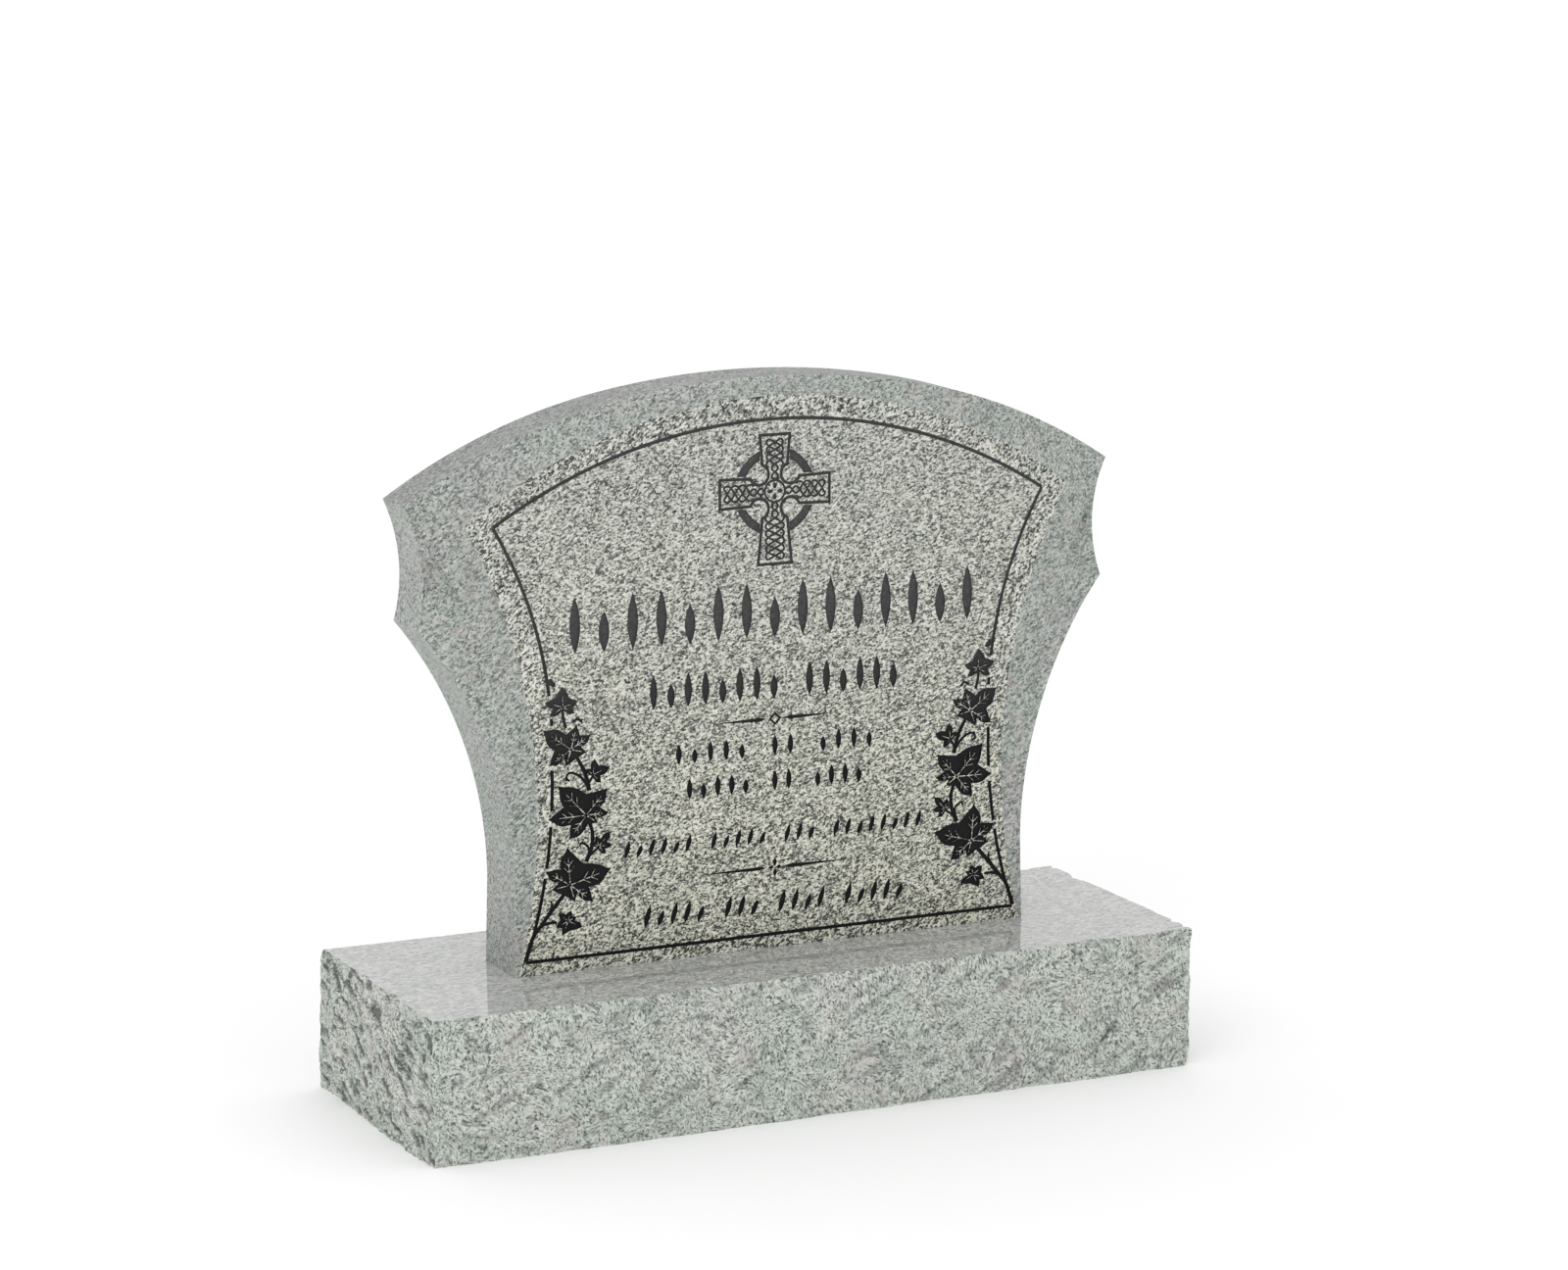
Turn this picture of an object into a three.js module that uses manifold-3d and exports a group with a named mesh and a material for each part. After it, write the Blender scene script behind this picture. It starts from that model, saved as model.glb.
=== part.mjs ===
import * as THREE from "three";
import { mergeVertices } from "three/addons/utils/BufferGeometryUtils.js";
import Module from "manifold-3d";

const wasm = await Module();
wasm.setup();

// Driving sizes, in millimetres.
// X runs along the stone, the front faces -Y, and Z is the height above the ground.
// A point [x, z] lies in the plane of the stone's front, and a rise bends a chord into an arc.

const BASE_HALF_LENGTH = 609.6;
const BASE_HALF_DEPTH = 222.8;
const BASE_HEIGHT = 211.6;
const END_SWELL = 11.4;
const FACE_SWELL = 10.2;

const JOINT_GAP = 0.3;
const DIE_FOOT = BASE_HEIGHT + JOINT_GAP;
const DIE_FRONT = -50.5;
const DIE_BACK = 63.5;

// Outline of the die, right half, from its foot up to the middle of the crown
const FOOT = [414.5, DIE_FOOT];
const WAIST = [411, 335];
const WING_LOW = [550, 728];
const WING_TIP = [563.5, 905];
const SHOULDER = [229, 1039];
const CROWN_TOP = 1060;
const SIDE_RISE = 36;
const WING_RISE = 16;
const SHOULDER_RISE = 18;

// Flat front: its upper corners, and the line where the slope towards the sides begins
const PANEL_CORNER = [483, 876];
const PANEL_TOP_RISE = 158;
const SLOPE_FOOT = [411, DIE_FOOT];
const SCOOP_POINT = [481, 757];
const SLOPE_RISE = 37;

// How far the front edge of the outline stands back from the panel
const CROWN_SET_BACK = 20;
const TIP_SET_BACK = 25;
const WING_SET_BACK = 12.5;
const EDGE_SET_BACK = 1.2;
const SLOPE_START = 430;
const SCOOP_DEPTH = 15;
const WING_DIP = 4;
const COVE_DEPTH = 3;
const FOOT_COVE_DEPTH = 0.3;
const HOLLOW_LEAN = 0.3;

// Carving
const CUT_DEPTH = 2.5;
const CUTTER_RISE = 1;
const BORDER_FOOT = [397, 232];
const BORDER_WAIST = [354, 508];
const BORDER_CORNER = [441, 870.5];
const BORDER_LOWER_RISE = 12;
const BORDER_UPPER_RISE = 27.5;
const BORDER_TOP_RISE = 129.5;
const BORDER_WIDTH = 5.2;
const CROSS_CENTRE = [0, 894];
const LINE_WIDTH = 4.6;

// Curves in the plane of the front

// A circular arc between two points; the rise is positive to the left of the way from a to b
function arc(a, b, rise, steps) {
  const chord = Math.hypot(b[0] - a[0], b[1] - a[1]);
  const half = 2 * Math.atan2(2 * rise, chord);
  const radius = chord / (2 * Math.sin(half));
  const along = [(b[0] - a[0]) / chord, (b[1] - a[1]) / chord];
  const left = [-along[1], along[0]];
  const points = [];
  for (let i = 0; i <= steps; i += 1) {
    const angle = half * (2 * i / steps - 1);
    const run = chord / 2 + radius * Math.sin(angle);
    const lift = radius * (Math.cos(angle) - Math.cos(half));
    points.push([a[0] + along[0] * run + left[0] * lift, a[1] + along[1] * run + left[1] * lift]);
  }
  return points;
}

function line(a, b, steps) {
  const points = [];
  for (let i = 0; i <= steps; i += 1) {
    points.push([a[0] + (b[0] - a[0]) * i / steps, a[1] + (b[1] - a[1]) * i / steps]);
  }
  return points;
}

function mix(a, b, t) {
  return a.map((value, i) => value + (b[i] - value) * t);
}

function mirrored(point) {
  return [-point[0], ...point.slice(1)];
}

function fromFront([x, , z]) {
  return [x, z];
}

function fromAbove([x, y]) {
  return [x, y];
}

// Closed surfaces from rings of points

// Joins rings of equal length with triangles; points that fall together make no triangle
function ringSurface(rings, closed) {
  const positions = [];
  const known = new Map();
  const faces = [];
  const vertex = (point) => {
    const key = point.map((value) => value.toFixed(3)).join(" ");
    if (!known.has(key)) {
      known.set(key, positions.length / 3);
      positions.push(...point);
    }
    return known.get(key);
  };
  const face = (a, b, c) => {
    const corners = [vertex(a), vertex(b), vertex(c)];
    if (new Set(corners).size === 3) {
      faces.push(...corners);
    }
  };
  for (let k = 0; k + 1 < rings.length; k += 1) {
    const first = rings[k];
    const second = rings[k + 1];
    for (let i = 0; i < first.length - (closed ? 0 : 1); i += 1) {
      const j = (i + 1) % first.length;
      face(first[i], first[j], second[j]);
      face(first[i], second[j], second[i]);
    }
  }
  return {
    // Fills a flat loop; seen through the flattening, its triangles turn anticlockwise or clockwise
    cap(points, flatten, anticlockwise) {
      const loop = points.filter((point, i) => vertex(point) !== vertex(points[(i + 1) % points.length]));
      const flat = loop.map((point) => new THREE.Vector2(...flatten(point)));
      const triangles = THREE.ShapeUtils.triangulateShape(flat, []);
      const turn = triangles.reduce((sum, abc) => sum + THREE.ShapeUtils.area(abc.map((i) => flat[i])), 0);
      for (const [a, b, c] of triangles) {
        if (turn > 0 === anticlockwise) {
          face(loop[a], loop[b], loop[c]);
        } else {
          face(loop[a], loop[c], loop[b]);
        }
      }
    },
    geometry() {
      const geometry = new THREE.BufferGeometry();
      geometry.setAttribute("position", new THREE.Float32BufferAttribute(positions, 3));
      geometry.setIndex(faces);
      geometry.computeVertexNormals();
      return geometry;
    },
  };
}

// Joining and cutting

const MERGE_DISTANCE = 0.001;

function solid(geometry) {
  const bare = geometry.clone();
  bare.deleteAttribute("normal");
  bare.deleteAttribute("uv");
  const merged = mergeVertices(bare, MERGE_DISTANCE);
  return new wasm.Manifold(new wasm.Mesh({
    numProp: 3,
    vertProperties: new Float32Array(merged.attributes.position.array),
    triVerts: new Uint32Array(merged.index.array),
  }));
}

function geometryOf(body) {
  const mesh = body.getMesh();
  const geometry = new THREE.BufferGeometry();
  geometry.setAttribute("position", new THREE.Float32BufferAttribute(mesh.vertProperties, 3));
  geometry.setIndex(Array.from(mesh.triVerts));
  geometry.computeVertexNormals();
  return geometry;
}

// Rock-pitched base

const BASE_ROWS = 9;
const BELLY_START = 0.18;
const BELLY_ROUNDNESS = 0.7;
const MEAN_SWELL = 0.7;
const CORNER_REACH = 25;
const LIP_REACH = 7;
const LIP_START = 0.78;
const LIP_NARROWNESS = 12;
const LONG_STEPS = 40;
const SHORT_STEPS = 15;

// Share of the swell that is left at each corner, from the front left one anticlockwise seen from above
const CORNER_SWELLS = [0.15, 0.2, 0.4, 0.95];

// Random unevenness: its height, its length along the perimeter, its rows up the face, and where it starts
const RIPPLE = { height: 1.5, length: 60, rows: 3, start: [0, 40] };
const SPALLS = { height: 0.45, length: 95, rows: 2.3, start: [0, 0] };
const CHIPS = { height: 0.25, length: 41, rows: 4.4, start: [9, 3] };
const HASH_TURNS = [127.1, 311.7];
const HASH_SCALE = 43758.5453;

function hash(i, j) {
  const wave = Math.sin(i * HASH_TURNS[0] + j * HASH_TURNS[1]) * HASH_SCALE;
  return wave - Math.floor(wave);
}

// Smooth random heights between -1 and 1
function noise(x, y) {
  const i = Math.floor(x);
  const j = Math.floor(y);
  const ease = (t) => t * t * (3 - 2 * t);
  const u = ease(x - i);
  const v = ease(y - j);
  const low = hash(i, j) + (hash(i + 1, j) - hash(i, j)) * u;
  const high = hash(i, j + 1) + (hash(i + 1, j + 1) - hash(i, j + 1)) * u;
  return 2 * (low + (high - low) * v) - 1;
}

function unevenness({ height, length, rows, start }, run, level) {
  return height * noise(run / length + start[0], level * rows + start[1]);
}

// Outward reach of a split face at a run along the perimeter and a level from 0 below to 1 above
function rockSwell(run, level, cornerDistance, cornerSwell) {
  const belly = Math.sin(Math.PI * (BELLY_START + (1 - BELLY_START) * level)) ** BELLY_ROUNDNESS;
  const spalls = unevenness(SPALLS, run, level) + unevenness(CHIPS, run, level);
  const clear = 1 - (1 - cornerSwell) * Math.exp(-cornerDistance / CORNER_REACH);
  return Math.min(1, belly * (MEAN_SWELL + spalls) * clear);
}

// The right end's top arris juts out a little
function lip(x, level) {
  const climb = Math.max(0, (level - LIP_START) / (1 - LIP_START));
  return LIP_REACH * climb * (x / BASE_HALF_LENGTH) ** LIP_NARROWNESS;
}

function baseSide(from, to, outward, swell, steps, start, cornerSwells) {
  const length = Math.hypot(to[0] - from[0], to[1] - from[1]);
  const along = [(to[0] - from[0]) / length, (to[1] - from[1]) / length];
  const columns = [];
  for (let i = 0; i < steps; i += 1) {
    const run = length * i / steps;
    const cornerDistance = Math.min(run, length - run);
    const cornerSwell = cornerSwells[run < length / 2 ? 0 : 1];
    const column = [];
    for (let row = 0; row < BASE_ROWS; row += 1) {
      const level = row / (BASE_ROWS - 1);
      const ripple = unevenness(RIPPLE, start + run, level) - RIPPLE.height;
      const top = row === BASE_ROWS - 1;
      const reach = ripple + (top ? 0 : swell * rockSwell(start + run, level, cornerDistance, cornerSwell));
      const slide = i === 0 ? -reach : 0;
      const x = from[0] + along[0] * (run + slide) + outward[0] * reach;
      const y = from[1] + along[1] * (run + slide) + outward[1] * reach;
      column.push([x > 0 ? x + lip(x, level) : x, y, level * BASE_HEIGHT]);
    }
    columns.push(column);
  }
  return columns;
}

function baseGeometry() {
  const l = BASE_HALF_LENGTH;
  const d = BASE_HALF_DEPTH;
  const [frontLeft, frontRight, backRight, backLeft] = CORNER_SWELLS;
  const columns = [
    ...baseSide([-l, -d], [l, -d], [0, -1], FACE_SWELL, LONG_STEPS, 0, [frontLeft, frontRight]),
    ...baseSide([l, -d], [l, d], [1, 0], END_SWELL, SHORT_STEPS, 2 * l, [frontRight, backRight]),
    ...baseSide([l, d], [-l, d], [0, 1], FACE_SWELL, LONG_STEPS, 2 * (l + d), [backRight, backLeft]),
    ...baseSide([-l, d], [-l, -d], [-1, 0], END_SWELL, SHORT_STEPS, 2 * (2 * l + d), [backLeft, frontLeft]),
  ];
  const rings = [];
  for (let row = 0; row < BASE_ROWS; row += 1) {
    rings.push(columns.map((column) => column[row]));
  }
  const surface = ringSurface(rings, true);
  surface.cap(rings[0], fromAbove, false);
  surface.cap(rings[BASE_ROWS - 1], fromAbove, true);
  const geometry = surface.geometry();
  geometry.computeBoundingBox();
  const middle = geometry.boundingBox.getCenter(new THREE.Vector3());
  geometry.translate(-middle.x, -middle.y, 0);
  return geometry;
}

// Body of the die

const CURVE_STEPS = 100;
const FOOT_STEPS = 2;
const SIDE_STEPS = 14;
const WING_STEPS = 8;
const SHOULDER_STEPS = 10;
const CROWN_STEPS = 12;
const SLOPE_RINGS = [1 / 3, 2 / 3];

// Each sample holds a point of the outline, how far its front edge stands back, the point of the flat
// front's edge that it leads to, and how deep the slope between the two is hollowed
function rightSide() {
  const low = arc(WAIST, WING_LOW, SIDE_RISE, SIDE_STEPS - FOOT_STEPS);
  const outline = [...line(FOOT, WAIST, FOOT_STEPS), ...low.slice(1)];
  const inner = arc(SLOPE_FOOT, SCOOP_POINT, SLOPE_RISE, CURVE_STEPS);
  return outline.map((point) => {
    const up = (point[1] - DIE_FOOT) / (WING_LOW[1] - DIE_FOOT);
    const climb = Math.max(0, (point[1] - SLOPE_START) / (WING_LOW[1] - SLOPE_START));
    return {
      outline: point,
      setBack: EDGE_SET_BACK + (WING_SET_BACK - EDGE_SET_BACK) * climb ** 2,
      inner: at(inner, up),
      hollow: FOOT_COVE_DEPTH + (COVE_DEPTH - FOOT_COVE_DEPTH) * climb,
    };
  });
}

// A point at a share of the way along evenly spaced points
function at(points, share) {
  const place = Math.min(Math.max(share, 0), 1) * (points.length - 1);
  const i = Math.min(Math.floor(place), points.length - 2);
  return mix(points[i], points[i + 1], place - i);
}

// The point at a height on a path that climbs all the way
function atHeight(points, height) {
  const i = Math.max(1, points.findIndex((point, k) => point[1] >= height || k === points.length - 1));
  const share = (height - points[i - 1][1]) / (points[i][1] - points[i - 1][1]);
  return mix(points[i - 1], points[i], share);
}

function rightWing() {
  return arc(WING_LOW, WING_TIP, WING_RISE, WING_STEPS).map((point, i) => {
    const t = i / WING_STEPS;
    return {
      outline: point,
      setBack: WING_SET_BACK + (TIP_SET_BACK - WING_SET_BACK) * t + WING_DIP * Math.sin(Math.PI * t),
      inner: SCOOP_POINT,
      hollow: COVE_DEPTH * (1 - t) + SCOOP_DEPTH * Math.sin(Math.PI * t),
    };
  });
}

function crown() {
  const shoulder = arc(WING_TIP, SHOULDER, -SHOULDER_RISE, SHOULDER_STEPS);
  const middle = arc(SHOULDER, mirrored(SHOULDER), -(CROWN_TOP - SHOULDER[1]), CROWN_STEPS);
  const outline = [...shoulder, ...middle.slice(1), ...shoulder.map(mirrored).reverse().slice(1)];
  const panelTop = arc(PANEL_CORNER, mirrored(PANEL_CORNER), -PANEL_TOP_RISE, CURVE_STEPS);
  return outline.map((point) => ({
    outline: point,
    setBack: CROWN_SET_BACK + (TIP_SET_BACK - CROWN_SET_BACK) * Math.abs(point[0]) / WING_TIP[0],
    inner: at(panelTop, (WING_TIP[0] - point[0]) / (2 * WING_TIP[0])),
    hollow: 0,
  }));
}

function dieSamples() {
  const right = [...rightSide(), ...rightWing()];
  const left = right.map((sample) => ({
    ...sample,
    outline: mirrored(sample.outline),
    inner: mirrored(sample.inner),
  })).reverse();
  return [...right, ...crown(), ...left];
}

function dieBody() {
  const samples = dieSamples();
  const place = ([x, z], y) => [x, y, z];
  const back = samples.map((s) => place(s.outline, DIE_BACK));
  const edge = samples.map((s) => place(s.outline, DIE_FRONT + s.setBack));
  const slopes = SLOPE_RINGS.map((t) => samples.map((s) => {
    const dip = s.setBack * (1 - t) + s.hollow * 4 * t * (1 - t) * t ** HOLLOW_LEAN;
    return place(mix(s.outline, s.inner, t), DIE_FRONT + dip);
  }));
  const inner = samples.map((s) => place(s.inner, DIE_FRONT));
  const rings = [back, edge, ...slopes, inner];
  const surface = ringSurface(rings, false);
  surface.cap(back, fromFront, false);
  surface.cap(inner, fromFront, true);
  const rightFoot = rings.map((ring) => ring[0]);
  const leftFoot = rings.map((ring) => ring[ring.length - 1]);
  surface.cap([...rightFoot, ...leftFoot.reverse()], fromAbove, false);
  return surface.geometry();
}

// Flat figures cut into the panel

const MITRE_LIMIT = 1.6;
const SHORTEST_STEP = 1e-6;

function shapeOf(points) {
  return new THREE.Shape(points.map(([x, z]) => new THREE.Vector2(x, z)));
}

// Points beside a path, at a signed distance to its left
function beside(path, distance, closed) {
  const count = path.length;
  return path.map((point, i) => {
    const before = closed ? path[(i + count - 1) % count] : path[Math.max(i - 1, 0)];
    const after = closed ? path[(i + 1) % count] : path[Math.min(i + 1, count - 1)];
    const inward = direction(before, point) ?? direction(point, after);
    const outward = direction(point, after) ?? inward;
    const normal = [-(inward[1] + outward[1]), inward[0] + outward[0]];
    const length = Math.hypot(...normal);
    const spread = Math.min(2 / length, MITRE_LIMIT) / length;
    const reach = typeof distance === "function" ? distance(i / (count - 1)) : distance;
    return [point[0] + normal[0] * spread * reach, point[1] + normal[1] * spread * reach];
  });
}

function direction(a, b) {
  const length = Math.hypot(b[0] - a[0], b[1] - a[1]);
  return length < SHORTEST_STEP ? null : [(b[0] - a[0]) / length, (b[1] - a[1]) / length];
}

// A band along an open path, whose width may change from start to end
function band(path, startWidth, endWidth = startWidth) {
  const half = (t) => (startWidth + (endWidth - startWidth) * t) / 2;
  const left = beside(path, half, false);
  const right = beside(path, (t) => -half(t), false);
  return shapeOf([...right, ...left.reverse()]);
}

// A band along a closed path
function loopBand(path, width) {
  const shape = shapeOf(beside(path, -width / 2, true));
  shape.holes.push(new THREE.Path(beside(path, width / 2, true).map(([x, z]) => new THREE.Vector2(x, z))));
  return shape;
}

// A smooth path through a few points
function flowing(points, steps) {
  const curve = new THREE.SplineCurve(points.map(([x, z]) => new THREE.Vector2(x, z)));
  return curve.getPoints(steps).map((point) => [point.x, point.y]);
}

function mirroredShape(shape) {
  const flip = (path) => path.getPoints().map((point) => [-point.x, point.y]).reverse();
  const copy = shapeOf(flip(shape));
  for (const hole of shape.holes) {
    copy.holes.push(new THREE.Path(flip(hole).map(([x, z]) => new THREE.Vector2(x, z))));
  }
  return copy;
}

// Border line; its sides are broken where the ivy crosses them, so they run from height to height
const BORDER_STRETCHES = [[269, 354], [368, 429], [452, 512], [577, 588], [621, BORDER_CORNER[1]]];
const STRETCH_STEP = 32;
const BORDER_TOP_STEPS = 20;

function borderShapes() {
  const lower = arc(BORDER_FOOT, BORDER_WAIST, BORDER_LOWER_RISE, CURVE_STEPS);
  const upper = arc(BORDER_WAIST, BORDER_CORNER, BORDER_UPPER_RISE, CURVE_STEPS);
  const side = [...lower, ...upper.slice(1)];
  const shapes = BORDER_STRETCHES.map(([low, high]) => {
    const steps = Math.ceil((high - low) / STRETCH_STEP);
    return band(line([0, low], [0, high], steps).map((point) => atHeight(side, point[1])), BORDER_WIDTH);
  });
  const top = arc(BORDER_CORNER, mirrored(BORDER_CORNER), -BORDER_TOP_RISE, BORDER_TOP_STEPS);
  return [
    ...shapes,
    ...shapes.map(mirroredShape),
    band(top, BORDER_WIDTH),
    band([mirrored(BORDER_FOOT), BORDER_FOOT], BORDER_WIDTH),
  ];
}

// Wheel cross; each arm has its turn, reach, half-width at the tip, and its plait's loops outwards
const NARROW = [12, 5];
const ARMS = [
  { turn: 0, reach: 83, half: 24, loops: [NARROW, NARROW, [18, 13], [18, 13]] },
  { turn: 90, reach: 88, half: 21.5, loops: [NARROW, NARROW, [20, 12.5], [20, 12.5]] },
  { turn: 180, reach: 107, half: 27, loops: [NARROW, NARROW, [15, 12], [15, 13], [16, 14], [16, 14]] },
  { turn: 270, reach: 88, half: 21.5, loops: [NARROW, NARROW, [20, 12.5], [20, 12.5]] },
];
const ARM_ROOT = 20;
const PIT_CENTRE = 25;
const PIT_RADIUS = 15;
const WHEEL_INNER = 52;
const WHEEL_OUTER = 65;
const WHEEL_CLEAR = 24;
const WHEEL_OUTER_STEPS = 6;
const WHEEL_INNER_STEPS = 5;
const BOSS_RADIUS = 16;
const BOSS_STEPS = 14;
const PETAL = [[0, 3], [3.2, 8], [0, 13], [-3.2, 8]];
const PIT_STEPS = 9;
const LOOP_PLACES = [0, 0.22, 0.5, 0.78];
const PLAIT_WIDTH = 3.6;

// Turns a point of an upright figure clockwise about the middle of the cross
function crossPoint([x, z], turn) {
  const angle = -turn * Math.PI / 180;
  const c = Math.cos(angle);
  const s = Math.sin(angle);
  return [CROSS_CENTRE[0] + x * c - z * s, CROSS_CENTRE[1] + x * s + z * c];
}

function pitArc() {
  const drop = Math.sqrt(PIT_RADIUS ** 2 - (PIT_CENTRE - ARM_ROOT) ** 2);
  const start = Math.atan2(drop, ARM_ROOT - PIT_CENTRE);
  const end = 2.5 * Math.PI - start;
  const points = [];
  for (let i = 0; i <= PIT_STEPS; i += 1) {
    const angle = start + (end - start) * i / PIT_STEPS;
    points.push([PIT_CENTRE + PIT_RADIUS * Math.cos(angle), PIT_CENTRE + PIT_RADIUS * Math.sin(angle)]);
  }
  return points;
}

function crossOutline() {
  const points = [];
  for (const arm of ARMS) {
    points.push(crossPoint([-arm.half, arm.reach], arm.turn));
    points.push(crossPoint([arm.half, arm.reach], arm.turn));
    points.push(...pitArc().map((point) => crossPoint(point, arm.turn)));
  }
  return points;
}

function wheelShapes() {
  return ARMS.map((arm) => {
    const rim = (radius, steps) => {
      const start = Math.asin(WHEEL_CLEAR / radius);
      const end = Math.acos(WHEEL_CLEAR / radius);
      return line([start, 0], [end, 0], steps).map(([angle]) =>
        crossPoint([radius * Math.cos(angle), radius * Math.sin(angle)], arm.turn));
    };
    const inner = rim(WHEEL_INNER, WHEEL_INNER_STEPS);
    return shapeOf([...rim(WHEEL_OUTER, WHEEL_OUTER_STEPS), ...inner.reverse()]);
  });
}

// Two strands that cross at both ends of every loop, each loop with its length and half-width
function plaitShapes({ turn, loops }) {
  const strand = (first) => {
    const path = [];
    let start = BOSS_RADIUS;
    let side = first;
    for (const [length, half] of loops) {
      for (const t of LOOP_PLACES) {
        path.push(crossPoint([side * half * Math.sin(Math.PI * t), start + length * t], turn));
      }
      start += length;
      side = -side;
    }
    path.push(crossPoint([0, start], turn));
    return band(path, PLAIT_WIDTH);
  };
  return [strand(1), strand(-1)];
}

function bossShapes() {
  const turns = line([0, 0], [360, 0], BOSS_STEPS).slice(0, BOSS_STEPS);
  const circle = turns.map(([turn]) => crossPoint([BOSS_RADIUS, 0], turn)).reverse();
  return [
    loopBand(circle, PLAIT_WIDTH),
    ...ARMS.map(({ turn }) => shapeOf(PETAL.map((point) => crossPoint(point, turn)))),
  ];
}

function crossShapes() {
  return [
    loopBand(crossOutline().reverse(), LINE_WIDTH),
    ...wheelShapes(),
    ...ARMS.flatMap(plaitShapes),
    ...bossShapes(),
  ];
}

// Ivy on the left; each leaf has its veins' meeting point and its lobes' turns (degrees) and lengths
const IVY_LEAVES = [
  { at: [-331, 287], lobes: [[-112, 21], [-49, 20], [16, 17], [70, 15], [116, 26], [203, 23]] },
  { at: [-327, 340], lobes: [[-98, 30], [-58, 46], [-4, 57], [74, 67], [128, 46], [164, 27]] },
  { at: [-282, 393], lobes: [[-60, 14], [-12, 17], [43, 28], [88, 22], [136, 17]] },
  { at: [-301, 441], lobes: [[-141, 43], [-91, 60], [-43, 65], [42, 50], [89, 36], [125, 22]] },
  { at: [-290, 500], lobes: [[-49, 15], [6, 24], [70, 28], [136, 18]] },
  { at: [-324, 540], lobes: [[-161, 26], [-122, 41], [-54, 54], [15, 37], [58, 37], [105, 25]] },
  { at: [-336, 603], lobes: [[-118, 24], [-72, 30], [-2, 31], [73, 25], [119, 21]] },
];
const LOBE_SHOULDER = 0.7;
const SHOULDER_TURN = 23;
const SHOULDER_SHARE = 0.38;
const NOTCH_DEPTH = 0.64;
const WIDE_GAP = 110;
const WIDE_NOTCH = 0.3;
const IVY_STEMS = [
  { points: [[-398, 233], [-386, 268], [-370, 285], [-349, 287]], widths: [7, 4] },
  { points: [[-382, 274], [-357, 304], [-331, 334]], widths: [6, 6.5] },
  { points: [[-302, 372], [-293, 394], [-292, 416], [-299, 436]], widths: [7, 5] },
  { points: [[-301, 373], [-294, 383], [-283, 391]], widths: [4.4, 3.4] },
  { points: [[-299, 374], [-298, 392], [-308, 401], [-312, 396]], widths: [4.2, 3] },
  { points: [[-296, 477], [-304, 507], [-321, 537]], widths: [7, 5] },
  { points: [[-298, 483], [-310, 499], [-326, 506], [-332, 499], [-326, 494]], widths: [4.4, 3] },
  { points: [[-296, 489], [-290, 499]], widths: [4, 3.4] },
  { points: [[-332, 572], [-336, 590], [-336, 602]], widths: [4.8, 4] },
  { points: [[-321, 580], [-313, 584], [-306, 578]], widths: [4.4, 3.2] },
  { points: [[-369, 290], [-357, 309], [-357, 320]], widths: [4, 3] },
];
const IVY_BUD = [[-360, 645], [-354, 647], [-347, 637], [-350, 633], [-359, 638]];

function polar([x, z], turn, length) {
  const angle = turn * Math.PI / 180;
  return [x + length * Math.sin(angle), z + length * Math.cos(angle)];
}

function leafShape({ at: centre, lobes }) {
  const gapAfter = (i) => (lobes[(i + 1) % lobes.length][0] - lobes[i][0] + 720) % 360;
  const points = [];
  lobes.forEach(([turn, length], i) => {
    const before = gapAfter((i + lobes.length - 1) % lobes.length);
    const after = gapAfter(i);
    const nextLength = lobes[(i + 1) % lobes.length][1];
    const notch = NOTCH_DEPTH * Math.min(length, nextLength) * (after > WIDE_GAP ? WIDE_NOTCH : 1);
    const lean = (gap) => Math.min(SHOULDER_TURN, SHOULDER_SHARE * gap);
    points.push(polar(centre, turn - lean(before), length * LOBE_SHOULDER));
    points.push(polar(centre, turn, length));
    points.push(polar(centre, turn + lean(after), length * LOBE_SHOULDER));
    points.push(polar(centre, turn + after / 2, notch));
  });
  return shapeOf(points.reverse());
}

function ivyShapes() {
  const left = [
    ...IVY_LEAVES.map(leafShape),
    ...IVY_STEMS.map(({ points, widths }) => band(flowing(points, 2 * points.length - 2), ...widths)),
    shapeOf(IVY_BUD.slice().reverse()),
  ];
  return [...left, ...left.map(mirroredShape)];
}

// Rows of plain chisel strokes: middle height, half-length of the row, stroke height, width, lean, groups
const STROKE_ROWS = [
  { z: 720, half: 325, height: 84, width: 17, lean: 0, groups: [15] },
  { z: 612, half: 200, height: 52, width: 12, lean: 0, groups: [8, 6] },
  { z: 517, half: 159, height: 32, width: 9, lean: 0, groups: [5, 2, 4] },
  { z: 464, half: 142, height: 32, width: 9, lean: 0, groups: [5, 2, 4] },
  { z: 383, half: 241, height: 27, width: 8, lean: 7, groups: [6, 5, 3, 8] },
  { z: 280, half: 210, height: 34, width: 9, lean: 9, groups: [5, 3, 4, 5] },
];
const GROUP_GAP = 1.1;
const SHORT_STROKE = 0.72;

function strokeShape(x, z, height, width, lean) {
  return shapeOf([
    [x - lean / 2, z - height / 2],
    [x + width / 2, z],
    [x + lean / 2, z + height / 2],
    [x - width / 2, z],
  ]);
}

function rowShapes({ z, half, height, width, lean, groups }) {
  const strokes = groups.reduce((sum, count) => sum + count, 0);
  const pitch = (2 * half - width) / (strokes - 1 + GROUP_GAP * (groups.length - 1));
  const shapes = [];
  let x = -half + width / 2;
  let index = 0;
  for (const count of groups) {
    for (let i = 0; i < count; i += 1) {
      const share = index % 3 === 1 ? SHORT_STROKE : 1;
      const drop = height * (1 - share) / 2;
      shapes.push(strokeShape(x, z - drop, height * share, width, lean));
      x += pitch;
      index += 1;
    }
    x += GROUP_GAP * pitch;
  }
  return shapes;
}

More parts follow.
